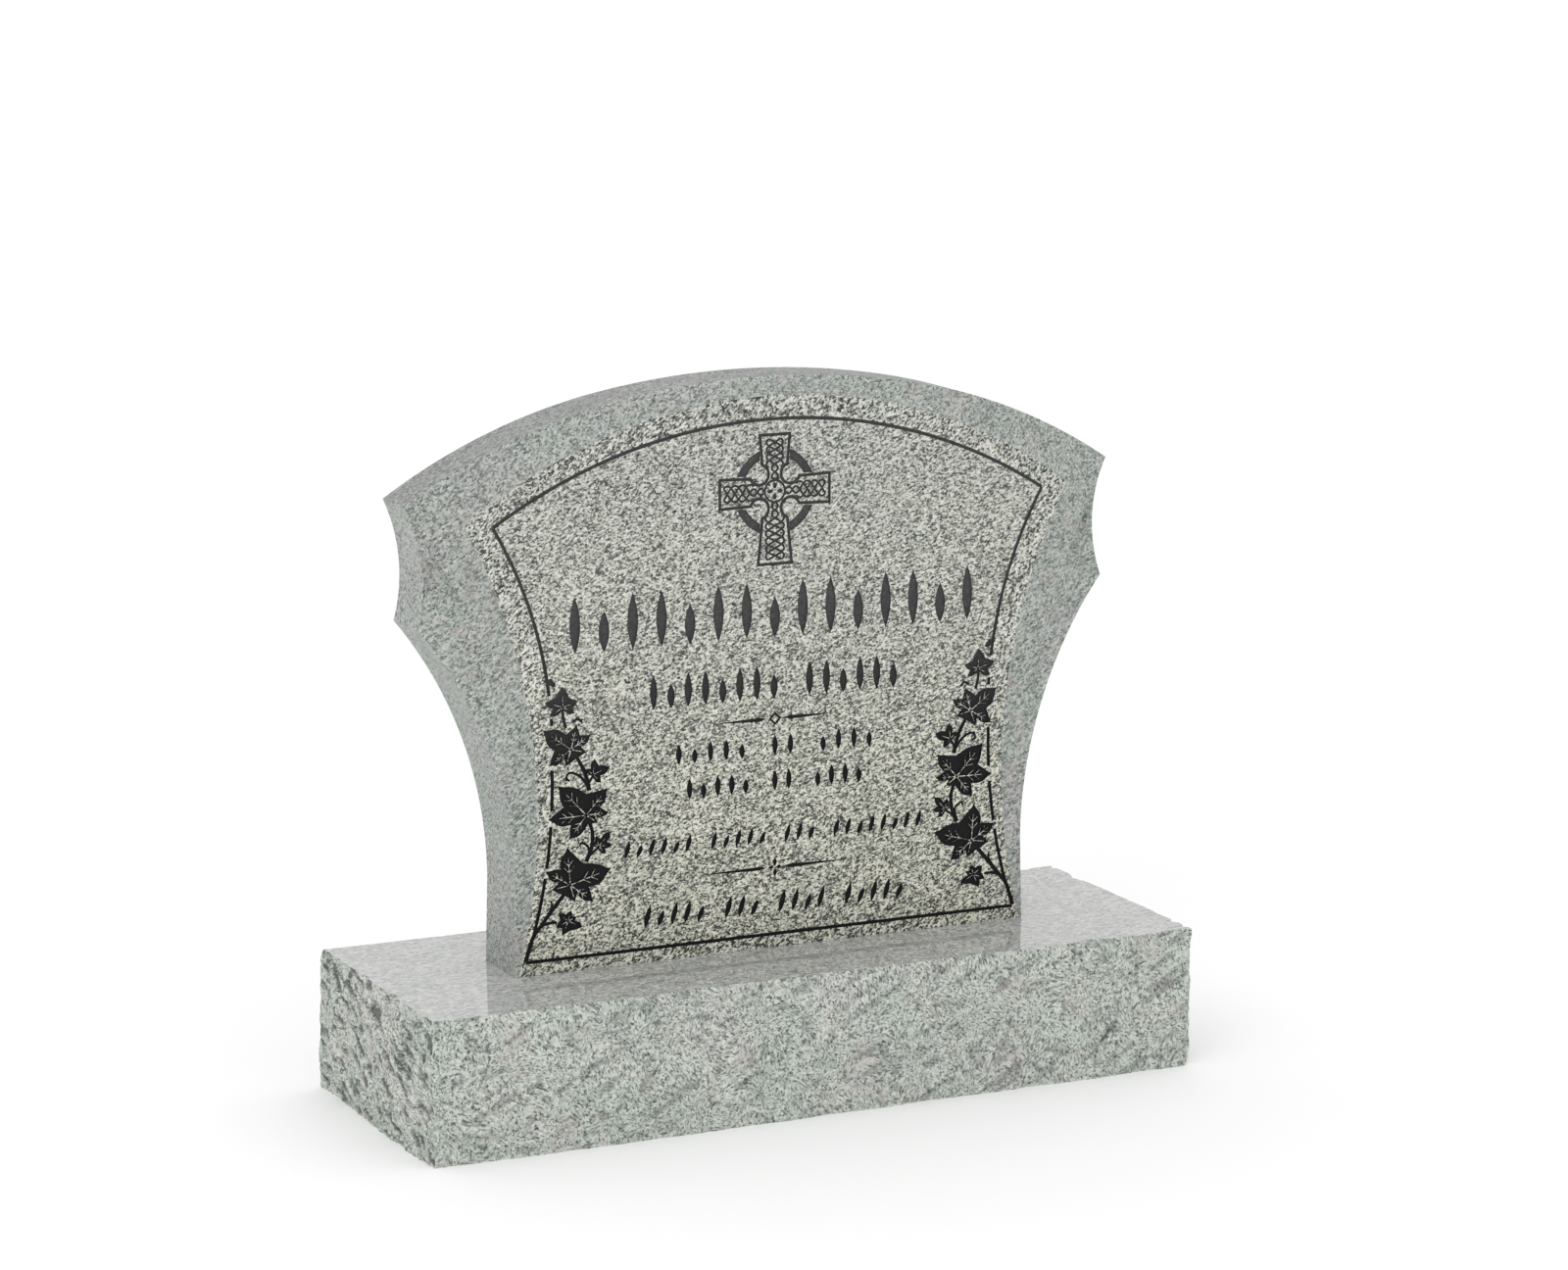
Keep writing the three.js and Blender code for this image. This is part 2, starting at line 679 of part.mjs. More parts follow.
// Divider lines that swell towards a small ornament in the middle
const DIVIDERS = [
  { z: 557, half: 103, knot: "diamond" },
  { z: 333, half: 129, knot: "petals" },
];
const ARROW = [[24, 3], [14, 0], [24, -3]];
const LOZENGE = 8;
const LOZENGE_WIDTH = 3.2;
const UPRIGHT_PETAL = { reach: 8, wide: 3.6, tall: 7 };
const LEVEL_PETAL = { reach: 6.5, wide: 4.5, tall: 3.2 };

function dividerShapes({ z, half, knot }) {
  const shapes = [];
  for (const side of [-1, 1]) {
    const arrow = [[half, 0], ...ARROW].map(([x, dz]) => [side * x, z + dz]);
    shapes.push(shapeOf(side > 0 ? arrow : arrow.reverse()));
  }
  const diamond = (x, dz, wide, tall) =>
    [[x, z + dz - tall], [x + wide, z + dz], [x, z + dz + tall], [x - wide, z + dz]];
  if (knot === "diamond") {
    shapes.push(loopBand(diamond(0, 0, LOZENGE, LOZENGE), LOZENGE_WIDTH));
  } else {
    for (const side of [-1, 1]) {
      const { reach, wide, tall } = UPRIGHT_PETAL;
      shapes.push(shapeOf(diamond(0, side * reach, wide, tall)));
      shapes.push(shapeOf(diamond(side * LEVEL_PETAL.reach, 0, LEVEL_PETAL.wide, LEVEL_PETAL.tall)));
    }
  }
  return shapes;
}

function cutter(shape) {
  const options = { depth: CUT_DEPTH + CUTTER_RISE, bevelEnabled: false, steps: 1 };
  const geometry = new THREE.ExtrudeGeometry(shape, options);
  geometry.rotateX(Math.PI / 2);
  geometry.translate(0, DIE_FRONT + CUT_DEPTH, 0);
  return solid(geometry);
}

function dieGeometry() {
  const figures = [
    ...borderShapes(),
    ...crossShapes(),
    ...ivyShapes(),
    ...STROKE_ROWS.flatMap(rowShapes),
    ...DIVIDERS.flatMap(dividerShapes),
  ];
  const cuts = figures.map(cutter).reduce((all, cut) => all.add(cut));
  return geometryOf(solid(dieBody()).subtract(cuts));
}

// The two stones

function granite(colour, roughness) {
  return new THREE.MeshStandardMaterial({ color: colour, roughness, metalness: 0, flatShading: true });
}

function stone(name, geometry, material) {
  const mesh = new THREE.Mesh(geometry, material);
  mesh.name = name;
  return mesh;
}

const headstone = new THREE.Group();
headstone.add(stone("base", baseGeometry(), granite(0xb4bab2, 0.8)));
headstone.add(stone("die", dieGeometry(), granite(0xa3a9a1, 0.35)));

export default headstone;
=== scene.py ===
import math

import bmesh
import bpy
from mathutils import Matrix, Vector, geometry, noise


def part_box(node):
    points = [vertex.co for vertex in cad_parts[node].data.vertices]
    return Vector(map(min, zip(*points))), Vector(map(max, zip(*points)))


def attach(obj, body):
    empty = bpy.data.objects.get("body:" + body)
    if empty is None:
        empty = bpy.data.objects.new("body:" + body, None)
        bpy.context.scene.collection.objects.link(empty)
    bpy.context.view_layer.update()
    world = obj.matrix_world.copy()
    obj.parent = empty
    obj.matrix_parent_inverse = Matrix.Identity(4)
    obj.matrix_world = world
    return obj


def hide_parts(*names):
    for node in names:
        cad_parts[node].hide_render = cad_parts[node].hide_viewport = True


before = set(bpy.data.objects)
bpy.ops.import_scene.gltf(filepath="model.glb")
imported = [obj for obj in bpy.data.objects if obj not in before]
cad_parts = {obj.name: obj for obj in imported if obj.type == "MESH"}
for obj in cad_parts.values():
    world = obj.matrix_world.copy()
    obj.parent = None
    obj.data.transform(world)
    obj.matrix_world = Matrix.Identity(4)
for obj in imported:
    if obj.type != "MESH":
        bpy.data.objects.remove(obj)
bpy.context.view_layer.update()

# Sizes are in millimetres until the meshes are made. X runs along the stone, the front faces -Y, Z is up.
MM = 0.001

BASE_HALF_LENGTH = 609.6
BASE_HALF_DEPTH = 222.8
BASE_HEIGHT = 211.6
END_SWELL = 11.4
FACE_SWELL = 10.2

JOINT_GAP = 0.3
DIE_FOOT = BASE_HEIGHT + JOINT_GAP
DIE_FRONT = -50.5
DIE_BACK = 63.5

FOOT = (414.5, DIE_FOOT)
WAIST = (411, 335)
WING_LOW = (550, 728)
WING_TIP = (563.5, 905)
SHOULDER = (229, 1039)
CROWN_TOP = 1060
SIDE_RISE = 36
WING_RISE = 16
SHOULDER_RISE = 18

PANEL_CORNER = (483, 876)
PANEL_TOP_RISE = 158
SLOPE_FOOT = (411, DIE_FOOT)
SCOOP_POINT = (481, 757)
SLOPE_RISE = 37

CROWN_SET_BACK = 20
TIP_SET_BACK = 25
WING_SET_BACK = 12.5
EDGE_SET_BACK = 1.2
SLOPE_START = 430
SCOOP_DEPTH = 15
WING_DIP = 4
COVE_DEPTH = 3
FOOT_COVE_DEPTH = 0.3
ARRIS = 1.2

# The polished part of the front; a honed margin lies between it and the slopes
POLISH_FOOT = (409, DIE_FOOT)
POLISH_RISE = 64

CUT_DEPTH = 2.5
BORDER_FOOT = (397, 232)
BORDER_WAIST = (354, 508)
BORDER_CORNER = (441, 870.5)
BORDER_LOWER_RISE = 12
BORDER_UPPER_RISE = 27.5
BORDER_TOP_RISE = 129.5
BORDER_WIDTH = 5.2
CROSS_CENTRE = (0, 894)
LINE_WIDTH = 4.6


# Curves in the plane of the front

def mix(a, b, t):
    return tuple(u + (v - u) * t for u, v in zip(a, b))


def line(a, b, steps):
    return [mix(a, b, i / steps) for i in range(steps + 1)]


def arc(a, b, rise, steps):
    chord = math.hypot(b[0] - a[0], b[1] - a[1])
    half = 2 * math.atan2(2 * rise, chord)
    radius = chord / (2 * math.sin(half))
    along = ((b[0] - a[0]) / chord, (b[1] - a[1]) / chord)
    left = (-along[1], along[0])
    points = []
    for i in range(steps + 1):
        angle = half * (2 * i / steps - 1)
        run = chord / 2 + radius * math.sin(angle)
        lift = radius * (math.cos(angle) - math.cos(half))
        points.append((a[0] + along[0] * run + left[0] * lift, a[1] + along[1] * run + left[1] * lift))
    return points


def mirrored(point):
    return (-point[0],) + tuple(point[1:])


def at(points, share):
    place = min(max(share, 0), 1) * (len(points) - 1)
    i = min(int(place), len(points) - 2)
    return mix(points[i], points[i + 1], place - i)


def at_height(points, height):
    for low, high in zip(points, points[1:]):
        if high[1] >= height:
            return mix(low, high, (height - low[1]) / (high[1] - low[1]))
    return points[-1]


def direction(a, b):
    length = math.hypot(b[0] - a[0], b[1] - a[1])
    return None if length < 1e-6 else ((b[0] - a[0]) / length, (b[1] - a[1]) / length)


def beside(path, reach, closed=False):
    """Points beside a path, at signed distances to its left."""
    count = len(path)
    points = []

    def heading(i, step):
        """The way the path runs just before (-1) or after (1) a point, past points that fall on it."""
        for k in range(1, count):
            j = i + k * step
            if not closed and not 0 <= j < count:
                return None
            way = direction(path[i], path[j % count])
            if way:
                return (way[0] * step, way[1] * step)

    for i, point in enumerate(path):
        inward = heading(i, -1) or heading(i, 1)
        outward = heading(i, 1) or inward
        normal = (-(inward[1] + outward[1]), inward[0] + outward[0])
        length = math.hypot(*normal)
        spread = min(2 / length, 1.6) / length
        distance = reach(i / (count - 1)) if callable(reach) else reach
        points.append((point[0] + normal[0] * spread * distance, point[1] + normal[1] * spread * distance))
    return points


def band(path, start_width, end_width=None):
    end_width = start_width if end_width is None else end_width
    half = lambda t: (start_width + (end_width - start_width) * t) / 2
    return beside(path, lambda t: -half(t)) + beside(path, half)[::-1]


def spline(points, steps):
    """A smooth path through a few points."""
    ends = [points[0]] + list(points) + [points[-1]]
    path = []
    for i in range(1, len(ends) - 2):
        a, b, c, d = ends[i - 1:i + 3]
        for k in range(steps):
            t = k / steps
            path.append(tuple(
                0.5 * (2 * b[n] + (c[n] - a[n]) * t + (2 * a[n] - 5 * b[n] + 4 * c[n] - d[n]) * t * t
                       + (3 * b[n] - a[n] - 3 * c[n] + d[n]) * t ** 3) for n in (0, 1)))
    return path + [tuple(points[-1])]


def bow(a, through, b, steps):
    """A bend from a to b that passes through a point halfway."""
    pull = tuple(2 * m - (u + v) / 2 for u, m, v in zip(a, through, b))
    return [mix(mix(a, pull, t), mix(pull, b, t), t) for t in (i / steps for i in range(steps + 1))]


# Figures carved into the front. Each is a list of outlines; every second nested outline is a hole.

def ring_outlines(path, width):
    return [beside(path, -width / 2, True), beside(path, width / 2, True)]


BORDER_STRETCHES = [(269, 354), (368, 429), (452, 512), (577, 588), (621, BORDER_CORNER[1])]


def border_side(steps):
    lower = arc(BORDER_FOOT, BORDER_WAIST, BORDER_LOWER_RISE, steps)
    return lower + arc(BORDER_WAIST, BORDER_CORNER, BORDER_UPPER_RISE, steps)[1:]


def inside_border():
    """Outline of the part of the front that the border line encloses."""
    side = border_side(24)
    top = arc(BORDER_CORNER, mirrored(BORDER_CORNER), -BORDER_TOP_RISE, 60)
    return side + top[1:-1] + [mirrored(p) for p in side[::-1]]


def border_figures():
    side = border_side(100)
    figures = []
    for low, high in BORDER_STRETCHES:
        steps = max(2, round((high - low) / 10))
        path = [at_height(side, low + (high - low) * i / steps) for i in range(steps + 1)]
        figures.append([band(path, BORDER_WIDTH)])
    figures += [[[mirrored(p) for p in outline] for outline in figure] for figure in figures]
    figures.append([band(arc(BORDER_CORNER, mirrored(BORDER_CORNER), -BORDER_TOP_RISE, 90), BORDER_WIDTH)])
    figures.append([band([mirrored(BORDER_FOOT), BORDER_FOOT], BORDER_WIDTH)])
    return figures


NARROW = (12, 5)
LINKS = 2
PLAIT_END = 6
PLAIT_SHARE = 0.55
HOOK = 0.125
ARMS = [(0, 83, 24, 0.75), (90, 88, 21.5, 0.75), (180, 107, 27, 1.25), (270, 88, 21.5, 0.75)]
ARM_ROOT = 20
PIT_CENTRE = 25
PIT_RADIUS = 15
WHEEL_INNER = 52
WHEEL_OUTER = 65
WHEEL_CLEAR = 24
BOSS_RADIUS = 16
LINK_WIDTH = 3.2
PLAIT_WIDTH = 3.2


def cross_point(point, turn):
    angle = -math.radians(turn)
    c, s = math.cos(angle), math.sin(angle)
    return (CROSS_CENTRE[0] + point[0] * c - point[1] * s, CROSS_CENTRE[1] + point[0] * s + point[1] * c)


def cross_figures():
    outline = []
    drop = math.sqrt(PIT_RADIUS ** 2 - (PIT_CENTRE - ARM_ROOT) ** 2)
    start = math.atan2(drop, ARM_ROOT - PIT_CENTRE)
    for turn, reach, half, _ in ARMS:
        outline.append(cross_point((-half, reach), turn))
        outline.append(cross_point((half, reach), turn))
        for i in range(21):
            angle = start + (2.5 * math.pi - 2 * start) * i / 20
            spot = (PIT_CENTRE + PIT_RADIUS * math.cos(angle), PIT_CENTRE + PIT_RADIUS * math.sin(angle))
            outline.append(cross_point(spot, turn))
    figures = [ring_outlines(outline[::-1], LINE_WIDTH)]
    for turn, reach, half, waves in ARMS:
        sector = []
        for radius, backwards in ((WHEEL_OUTER, False), (WHEEL_INNER, True)):
            rim = line((math.asin(WHEEL_CLEAR / radius),), (math.acos(WHEEL_CLEAR / radius),), 16)
            rim = rim[::-1] if backwards else rim
            sector += [cross_point((radius * math.cos(a), radius * math.sin(a)), turn) for (a,) in rim]
        figures.append([sector])
        for side in (1, -1):
            link = []
            for k in range(8 * LINKS + 1):
                swing = side * NARROW[1] * math.sin(math.pi * k / 8)
                link.append(cross_point((swing, BOSS_RADIUS + NARROW[0] * k / 8), turn))
            figures.append([band(link, LINK_WIDTH)])
        start = BOSS_RADIUS + LINKS * NARROW[0]
        wave = (reach - PLAIT_END - start) / (waves + HOOK)
        for strand in range(4):
            first = -HOOK if strand % 2 else 0
            places = [first + (waves + HOOK - first) * k / 40 for k in range(41)]
            path = [(half * PLAIT_SHARE * math.sin(math.tau * (place + strand / 4)), start + wave * place)
                    for place in places]
            figures.append([band([cross_point(p, turn) for p in path], PLAIT_WIDTH)])
        petal = bow((0, 3), (3.2, 8), (0, 13), 5) + bow((0, 13), (-3.2, 8), (0, 3), 5)[1:-1]
        figures.append([[cross_point(p, turn) for p in petal]])
    circle = [cross_point((BOSS_RADIUS, 0), 360 * i / 32) for i in range(32)]
    figures.append(ring_outlines(circle[::-1], LINK_WIDTH))
    return figures


# Ivy on the left; each leaf has its veins' meeting point and its lobes' turns in degrees and lengths
IVY_LEAVES = [
    ((-331, 287), [(-112, 21), (-49, 20), (16, 17), (70, 15), (116, 26), (203, 23)]),
    ((-327, 340), [(-98, 30), (-58, 46), (-4, 57), (74, 67), (128, 46), (164, 27)]),
    ((-282, 393), [(-60, 14), (-12, 17), (43, 28), (88, 22), (136, 17)]),
    ((-301, 441), [(-141, 43), (-91, 60), (-43, 65), (42, 50), (89, 36), (125, 22)]),
    ((-290, 500), [(-49, 15), (6, 24), (70, 28), (136, 18)]),
    ((-324, 540), [(-161, 26), (-122, 41), (-54, 54), (15, 37), (58, 37), (105, 25)]),
    ((-336, 603), [(-118, 24), (-72, 30), (-2, 31), (73, 25), (119, 21)]),
]
LOBE_SHOULDER = 0.7
SHOULDER_TURN = 23
SHOULDER_SHARE = 0.38
NOTCH_DEPTH = 0.64
WIDE_GAP = 110
WIDE_NOTCH = 0.3
VEIN_WIDTH = 1.5
SMALL_LEAF = 34
IVY_STEMS = [
    ([(-398, 233), (-386, 268), (-370, 285), (-349, 287)], 7, 4),
    ([(-382, 274), (-357, 304), (-331, 334)], 6, 6.5),
    ([(-302, 372), (-293, 394), (-292, 416), (-299, 436)], 7, 5),
    ([(-301, 373), (-294, 383), (-283, 391)], 4.4, 3.4),
    ([(-299, 374), (-298, 392), (-308, 401), (-312, 396)], 4.2, 3),
    ([(-296, 477), (-304, 507), (-321, 537)], 7, 5),
    ([(-298, 483), (-310, 499), (-326, 506), (-332, 499), (-326, 494)], 4.4, 3),
    ([(-296, 489), (-290, 499)], 4, 3.4),
    ([(-332, 572), (-336, 590), (-336, 602)], 4.8, 4),
    ([(-321, 580), (-313, 584), (-306, 578)], 4.4, 3.2),
    ([(-369, 290), (-357, 309), (-357, 320)], 4, 3),
]
IVY_BUD = [(-360, 645), (-354, 647), (-347, 637), (-350, 633), (-359, 638)]


def polar(centre, turn, length):
    angle = math.radians(turn)
    return (centre[0] + length * math.sin(angle), centre[1] + length * math.cos(angle))


def lobe_edge(notch, shoulder, tip, axis):
    """From a notch round the shoulder and on to the tip, a little hollow before the tip."""
    a, b = mix(notch, shoulder, 0.45), mix(shoulder, tip, 0.35)
    bend = [mix(mix(a, shoulder, t), mix(shoulder, b, t), t) for t in (0, 0.25, 0.5, 0.75, 1)]
    return [notch, *bend, mix(mix(shoulder, tip, 0.72), axis, 0.12), tip]


def leaf_outline(centre, lobes):
    count = len(lobes)
    gap_after = lambda i: (lobes[(i + 1) % count][0] - lobes[i % count][0] + 720) % 360

    def notch(i):
        gap = gap_after(i)
        depth = NOTCH_DEPTH * min(lobes[i % count][1], lobes[(i + 1) % count][1])
        return polar(centre, lobes[i % count][0] + gap / 2, depth * (WIDE_NOTCH if gap > WIDE_GAP else 1))

    points = []
    for i, (turn, length) in enumerate(lobes):
        tip = polar(centre, turn, length)
        sides = []
        for sign, gap in ((-1, gap_after(i + count - 1)), (1, gap_after(i))):
            lean = min(SHOULDER_TURN, SHOULDER_SHARE * gap)
            sides.append(polar(centre, turn + sign * lean, length * LOBE_SHOULDER))
        axis = polar(centre, turn, length * 0.8)
        points += lobe_edge(notch(i + count - 1), sides[0], tip, axis)[:-1]
        points += lobe_edge(notch(i), sides[1], tip, axis)[:0:-1]
    return points


def vein_outlines(centre, lobes):
    """Ridges left standing in a leaf: one along each lobe, the longer ones with two pairs of branches."""
    veins = []
    small = max(length for _, length in lobes) < SMALL_LEAF
    width = VEIN_WIDTH * (0.7 if small else 1)
    for turn, length in lobes:
        start, end = polar(centre, turn, 2), polar(centre, turn, length * (0.5 if small else 0.7))
        veins.append(band(line(start, end, 3), width, width * 0.4))
        if length < SMALL_LEAF:
            continue
        for share in (0.32, 0.5):
            root = polar(centre, turn, length * share)
            for side in (-1, 1):
                tip = polar(root, turn + side * 42, length * (0.25 - 0.14 * share))
                veins.append(band(line(root, tip, 2), width * 0.6, width * 0.3))
    return veins


def ivy_figures():
    figures = [[leaf_outline(*leaf)] for leaf in IVY_LEAVES]
    figures += [[band(spline(points, 6), start, end)] for points, start, end in IVY_STEMS]
    figures.append([IVY_BUD])
    veins = [vein for leaf in IVY_LEAVES for vein in vein_outlines(*leaf)]
    flip = lambda outline: [mirrored(p) for p in outline]
    figures += [[flip(outline) for outline in figure] for figure in figures]
    return figures, veins + [flip(vein) for vein in veins]


# Rows of plain chisel strokes: middle height, half-length, stroke height, width, lean and groups
STROKE_ROWS = [
    (720, 325, 84, 17, 0, [15]),
    (612, 200, 52, 12, 0, [8, 6]),
    (517, 159, 32, 9, 0, [5, 2, 4]),
    (464, 142, 32, 9, 0, [5, 2, 4]),
    (383, 241, 27, 8, 7, [6, 5, 3, 8]),
    (280, 210, 34, 9, 9, [5, 3, 4, 5]),
]
GROUP_GAP = 1.1
SHORT_STROKE = 0.72


def stroke_outline(x, z, height, width, lean):
    low, high = (x - lean / 2, z - height / 2), (x + lean / 2, z + height / 2)
    return bow(low, (x + width / 2, z), high, 8) + bow(high, (x - width / 2, z), low, 8)[1:-1]


def row_figures():
    figures = []
    for z, half, height, width, lean, groups in STROKE_ROWS:
        pitch = (2 * half - width) / (sum(groups) - 1 + GROUP_GAP * (len(groups) - 1))
        x, index = -half + width / 2, 0
        for count in groups:
            for _ in range(count):
                share = SHORT_STROKE if index % 3 == 1 else 1
                drop = height * (1 - share) / 2
                figures.append([stroke_outline(x, z - drop, height * share, width, lean)])
                x += pitch
                index += 1
            x += GROUP_GAP * pitch
    return figures


def divider_figures():
    figures = []
    for z, half, knot in ((557, 103, "diamond"), (333, 129, "petals")):
        for side in (-1, 1):
            figures.append([[(side * half, z), (side * 24, z + 3), (side * 14, z), (side * 24, z - 3)]])
        diamond = lambda x, dz, wide, tall: [
            [(x, z + dz - tall), (x + wide, z + dz), (x, z + dz + tall), (x - wide, z + dz)]]
        if knot == "diamond":
            figures.append(ring_outlines(diamond(0, 0, 8, 8)[0], 3.2))
        else:
            figures += [diamond(0, 8, 3.6, 7), diamond(0, -8, 3.6, 7)]
            figures += [diamond(-6.5, 0, 4.5, 3.2), diamond(6.5, 0, 4.5, 3.2)]
    return figures


# Mesh building

class Shell:
    """Vertices merged by place, with faces that carry a material number and a region number."""

    def __init__(self):
        self.points, self.known, self.faces, self.shade_marks = [], {}, [], {}

    def vertex(self, point):
        key = tuple(round(c * 1000) for c in point)
        if key not in self.known:
            self.known[key] = len(self.points)
            self.points.append(point)
        return self.known[key]

    def face(self, corners, material, region):
        ids = []
        for point in corners:
            number = self.vertex(point)
            if number not in ids:
                ids.append(number)
        if len(ids) > 2:
            self.faces.append((ids, material, region))

    def strip(self, first, second, material, region):
        for a, b, c, d in zip(first, first[1:], second[1:], second):
            self.face((a, b, c, d), material, region)

    def build(self, name, materials, sharp_angle):
        mesh = bpy.data.meshes.new(name)
        mesh.from_pydata([Vector(p) * MM for p in self.points], [], [f[0] for f in self.faces])
        for polygon, (_, material, _) in zip(mesh.polygons, self.faces):
            polygon.material_index = material
        regions = [f[2] for f in self.faces]
        for material in materials:
            mesh.materials.append(material)
        # The painted shade of the crevices is kept per point, for the stone's colour.
        if self.shade_marks:
            layer = mesh.attributes.new("crevice", "FLOAT", "POINT")
            layer.data.foreach_set("value", [self.shade_marks.get(i, 0) for i in range(len(self.points))])
        bm = bmesh.new()
        bm.from_mesh(mesh)
        bm.faces.ensure_lookup_table()
        for face in bm.faces:
            face.smooth = True
        for edge in bm.edges:
            if len(edge.link_faces) == 2:
                one, two = edge.link_faces
                same = regions[one.index] == regions[two.index]
                edge.smooth = same and edge.calc_face_angle(0) < sharp_angle
        bm.to_mesh(mesh)
        bm.free()
        piece = bpy.data.objects.new(name, mesh)
        bpy.context.scene.collection.objects.link(piece)
        return piece


def triangulated(outlines):
    """Cuts the plane along every outline; gives the points, the triangles and the outlines around each triangle."""
    points, faces, ordered = [], [], []
    for outline in outlines:
        turn = sum(a[0] * b[1] - a[1] * b[0] for a, b in zip(outline, list(outline[1:]) + [outline[0]]))
        ordered.append(outline if turn > 0 else outline[::-1])
        faces.append(list(range(len(points), len(points) + len(outline))))
        points += [Vector(p) for p in ordered[-1]]
    found, _, triangles, given, _, inside = geometry.delaunay_2d_cdt(points, [], faces, 0, 1e-3, True)
    exact = [point for outline in ordered for point in outline]
    places = [exact[min(source)] if source else tuple(point) for point, source in zip(found, given)]
    return places, triangles, inside


# The die

POLISHED, HONED, CARVED, SHADED_CROWN_TOP_FACE, MARGIN = 0, 1, 2, 3, 4
FRONT, SIDE_SLOPE, SCOOP, FACET, CROWN_SLOPE, EDGE, SIDE_FACE, BACK_EDGE, BACK, WALL, FLOOR = range(11)


def die_samples():
    low = arc(WAIST, WING_LOW, SIDE_RISE, 90)
    outline = line(FOOT, WAIST, 20) + low[1:]
    inner = arc(SLOPE_FOOT, SCOOP_POINT, SLOPE_RISE, 200)
    side = []
    for point in outline:
        up = (point[1] - DIE_FOOT) / (WING_LOW[1] - DIE_FOOT)
        climb = max(0, (point[1] - SLOPE_START) / (WING_LOW[1] - SLOPE_START))
        set_back = EDGE_SET_BACK + (WING_SET_BACK - EDGE_SET_BACK) * climb ** 2
        hollow = FOOT_COVE_DEPTH + (COVE_DEPTH - FOOT_COVE_DEPTH) * climb
        side.append((point, set_back, at(inner, up), hollow, SIDE_SLOPE))
    wing = []
    wing_path = arc(WING_LOW, WING_TIP, WING_RISE, 40)
    for i, point in enumerate(wing_path):
        t = i / 40
        bulge = math.sin(math.pi * t)
        set_back = WING_SET_BACK + (TIP_SET_BACK - WING_SET_BACK) * t + WING_DIP * bulge
        wing.append((point, set_back, SCOOP_POINT, COVE_DEPTH * (1 - t) + SCOOP_DEPTH * bulge, SCOOP))
    shoulder = arc(WING_TIP, SHOULDER, -SHOULDER_RISE, 50)
    middle = arc(SHOULDER, mirrored(SHOULDER), -(CROWN_TOP - SHOULDER[1]), 60)
    crown_path = shoulder + middle[1:] + [mirrored(p) for p in shoulder[::-1]][1:]
    panel_top = arc(PANEL_CORNER, mirrored(PANEL_CORNER), -PANEL_TOP_RISE, 200)
    crown = []
    for point in crown_path:
        set_back = CROWN_SET_BACK + (TIP_SET_BACK - CROWN_SET_BACK) * abs(point[0]) / WING_TIP[0]
        crown.append((point, set_back, at(panel_top, (WING_TIP[0] - point[0]) / (2 * WING_TIP[0])), 0, CROWN_SLOPE))
    right = side + wing
    left = [(mirrored(p), back, mirrored(q), hollow, region) for p, back, q, hollow, region in right[::-1]]
    return right + crown + left


def slope_point(sample, t):
    outline, set_back, inner, hollow, _ = sample
    x, z = mix(outline, inner, t)
    return (x, DIE_FRONT + set_back * (1 - t) + hollow * 4 * t * (1 - t) * t ** 0.3, z)


def die_shell():
    shell = Shell()
    samples = die_samples()
    back_inset = beside([s[0] for s in samples], ARRIS)
    slope_length = [math.dist((*s[0], s[1]), (*s[2], 0)) for s in samples]
    arris_t = [min(0.3, ARRIS / length) for length in slope_length]
    steps = 10
    rings = [[slope_point(s, a + (1 - a) * k / steps) for s, a in zip(samples, arris_t)] for k in range(steps + 1)]
    corner = [slope_point(s, a * 0.3) for s, a in zip(samples, arris_t)]
    corner = [(x, y + ARRIS * 0.25, z) for x, y, z in corner]
    front_edge = [(s[0][0], DIE_FRONT + s[1] + ARRIS, s[0][1]) for s in samples]
    back_edge = [(s[0][0], DIE_BACK - ARRIS, s[0][1]) for s in samples]
    back_corner = [(x, DIE_BACK - ARRIS * 0.3, z) for x, z in beside([s[0] for s in samples], ARRIS * 0.3)]
    back_rim = [(x, DIE_BACK, z) for x, z in back_inset]
    shell.strip(back_rim, back_corner, HONED, BACK_EDGE)
    shell.strip(back_corner, back_edge, HONED, BACK_EDGE)
    middle = [mix(a, b, 0.5) for a, b in zip(back_edge, front_edge)]
    for first, second in ((back_edge, middle), (middle, front_edge)):
        for i in range(len(samples) - 1):
            # The top face along the crown takes a darker copy of the honed granite, as painted shade.
            crown = samples[i][4] == samples[i + 1][4] == CROWN_SLOPE
            corners = (first[i], first[i + 1], second[i + 1], second[i])
            shell.face(corners, SHADED_CROWN_TOP_FACE if crown else HONED, SIDE_FACE)
    shell.strip(front_edge, corner, HONED, EDGE)
    shell.strip(corner, rings[0], HONED, EDGE)
    for first, second in zip(rings, rings[1:]):
        for i in range(len(samples) - 1):
            one, two = samples[i][4], samples[i + 1][4]
            region = one if one == two else FACET if {one, two} == {SCOOP, CROWN_SLOPE} else SCOOP
            shell.face((first[i], first[i + 1], second[i + 1], second[i]), HONED, region)
    columns = [back_rim, back_corner, back_edge, middle, front_edge, corner, *rings]
    polish_foot = (POLISH_FOOT[0], DIE_FRONT, POLISH_FOOT[1])
    front_line = [polish_foot, mirrored(polish_foot)]
    underside = [c[0] for c in columns] + front_line + [c[-1] for c in columns][::-1]
    shell.face(underside, HONED, BACK_EDGE)
    shell.face(back_rim[::-1], HONED, BACK)
    return shell, [(x, z) for x, _, z in rings[-1]]


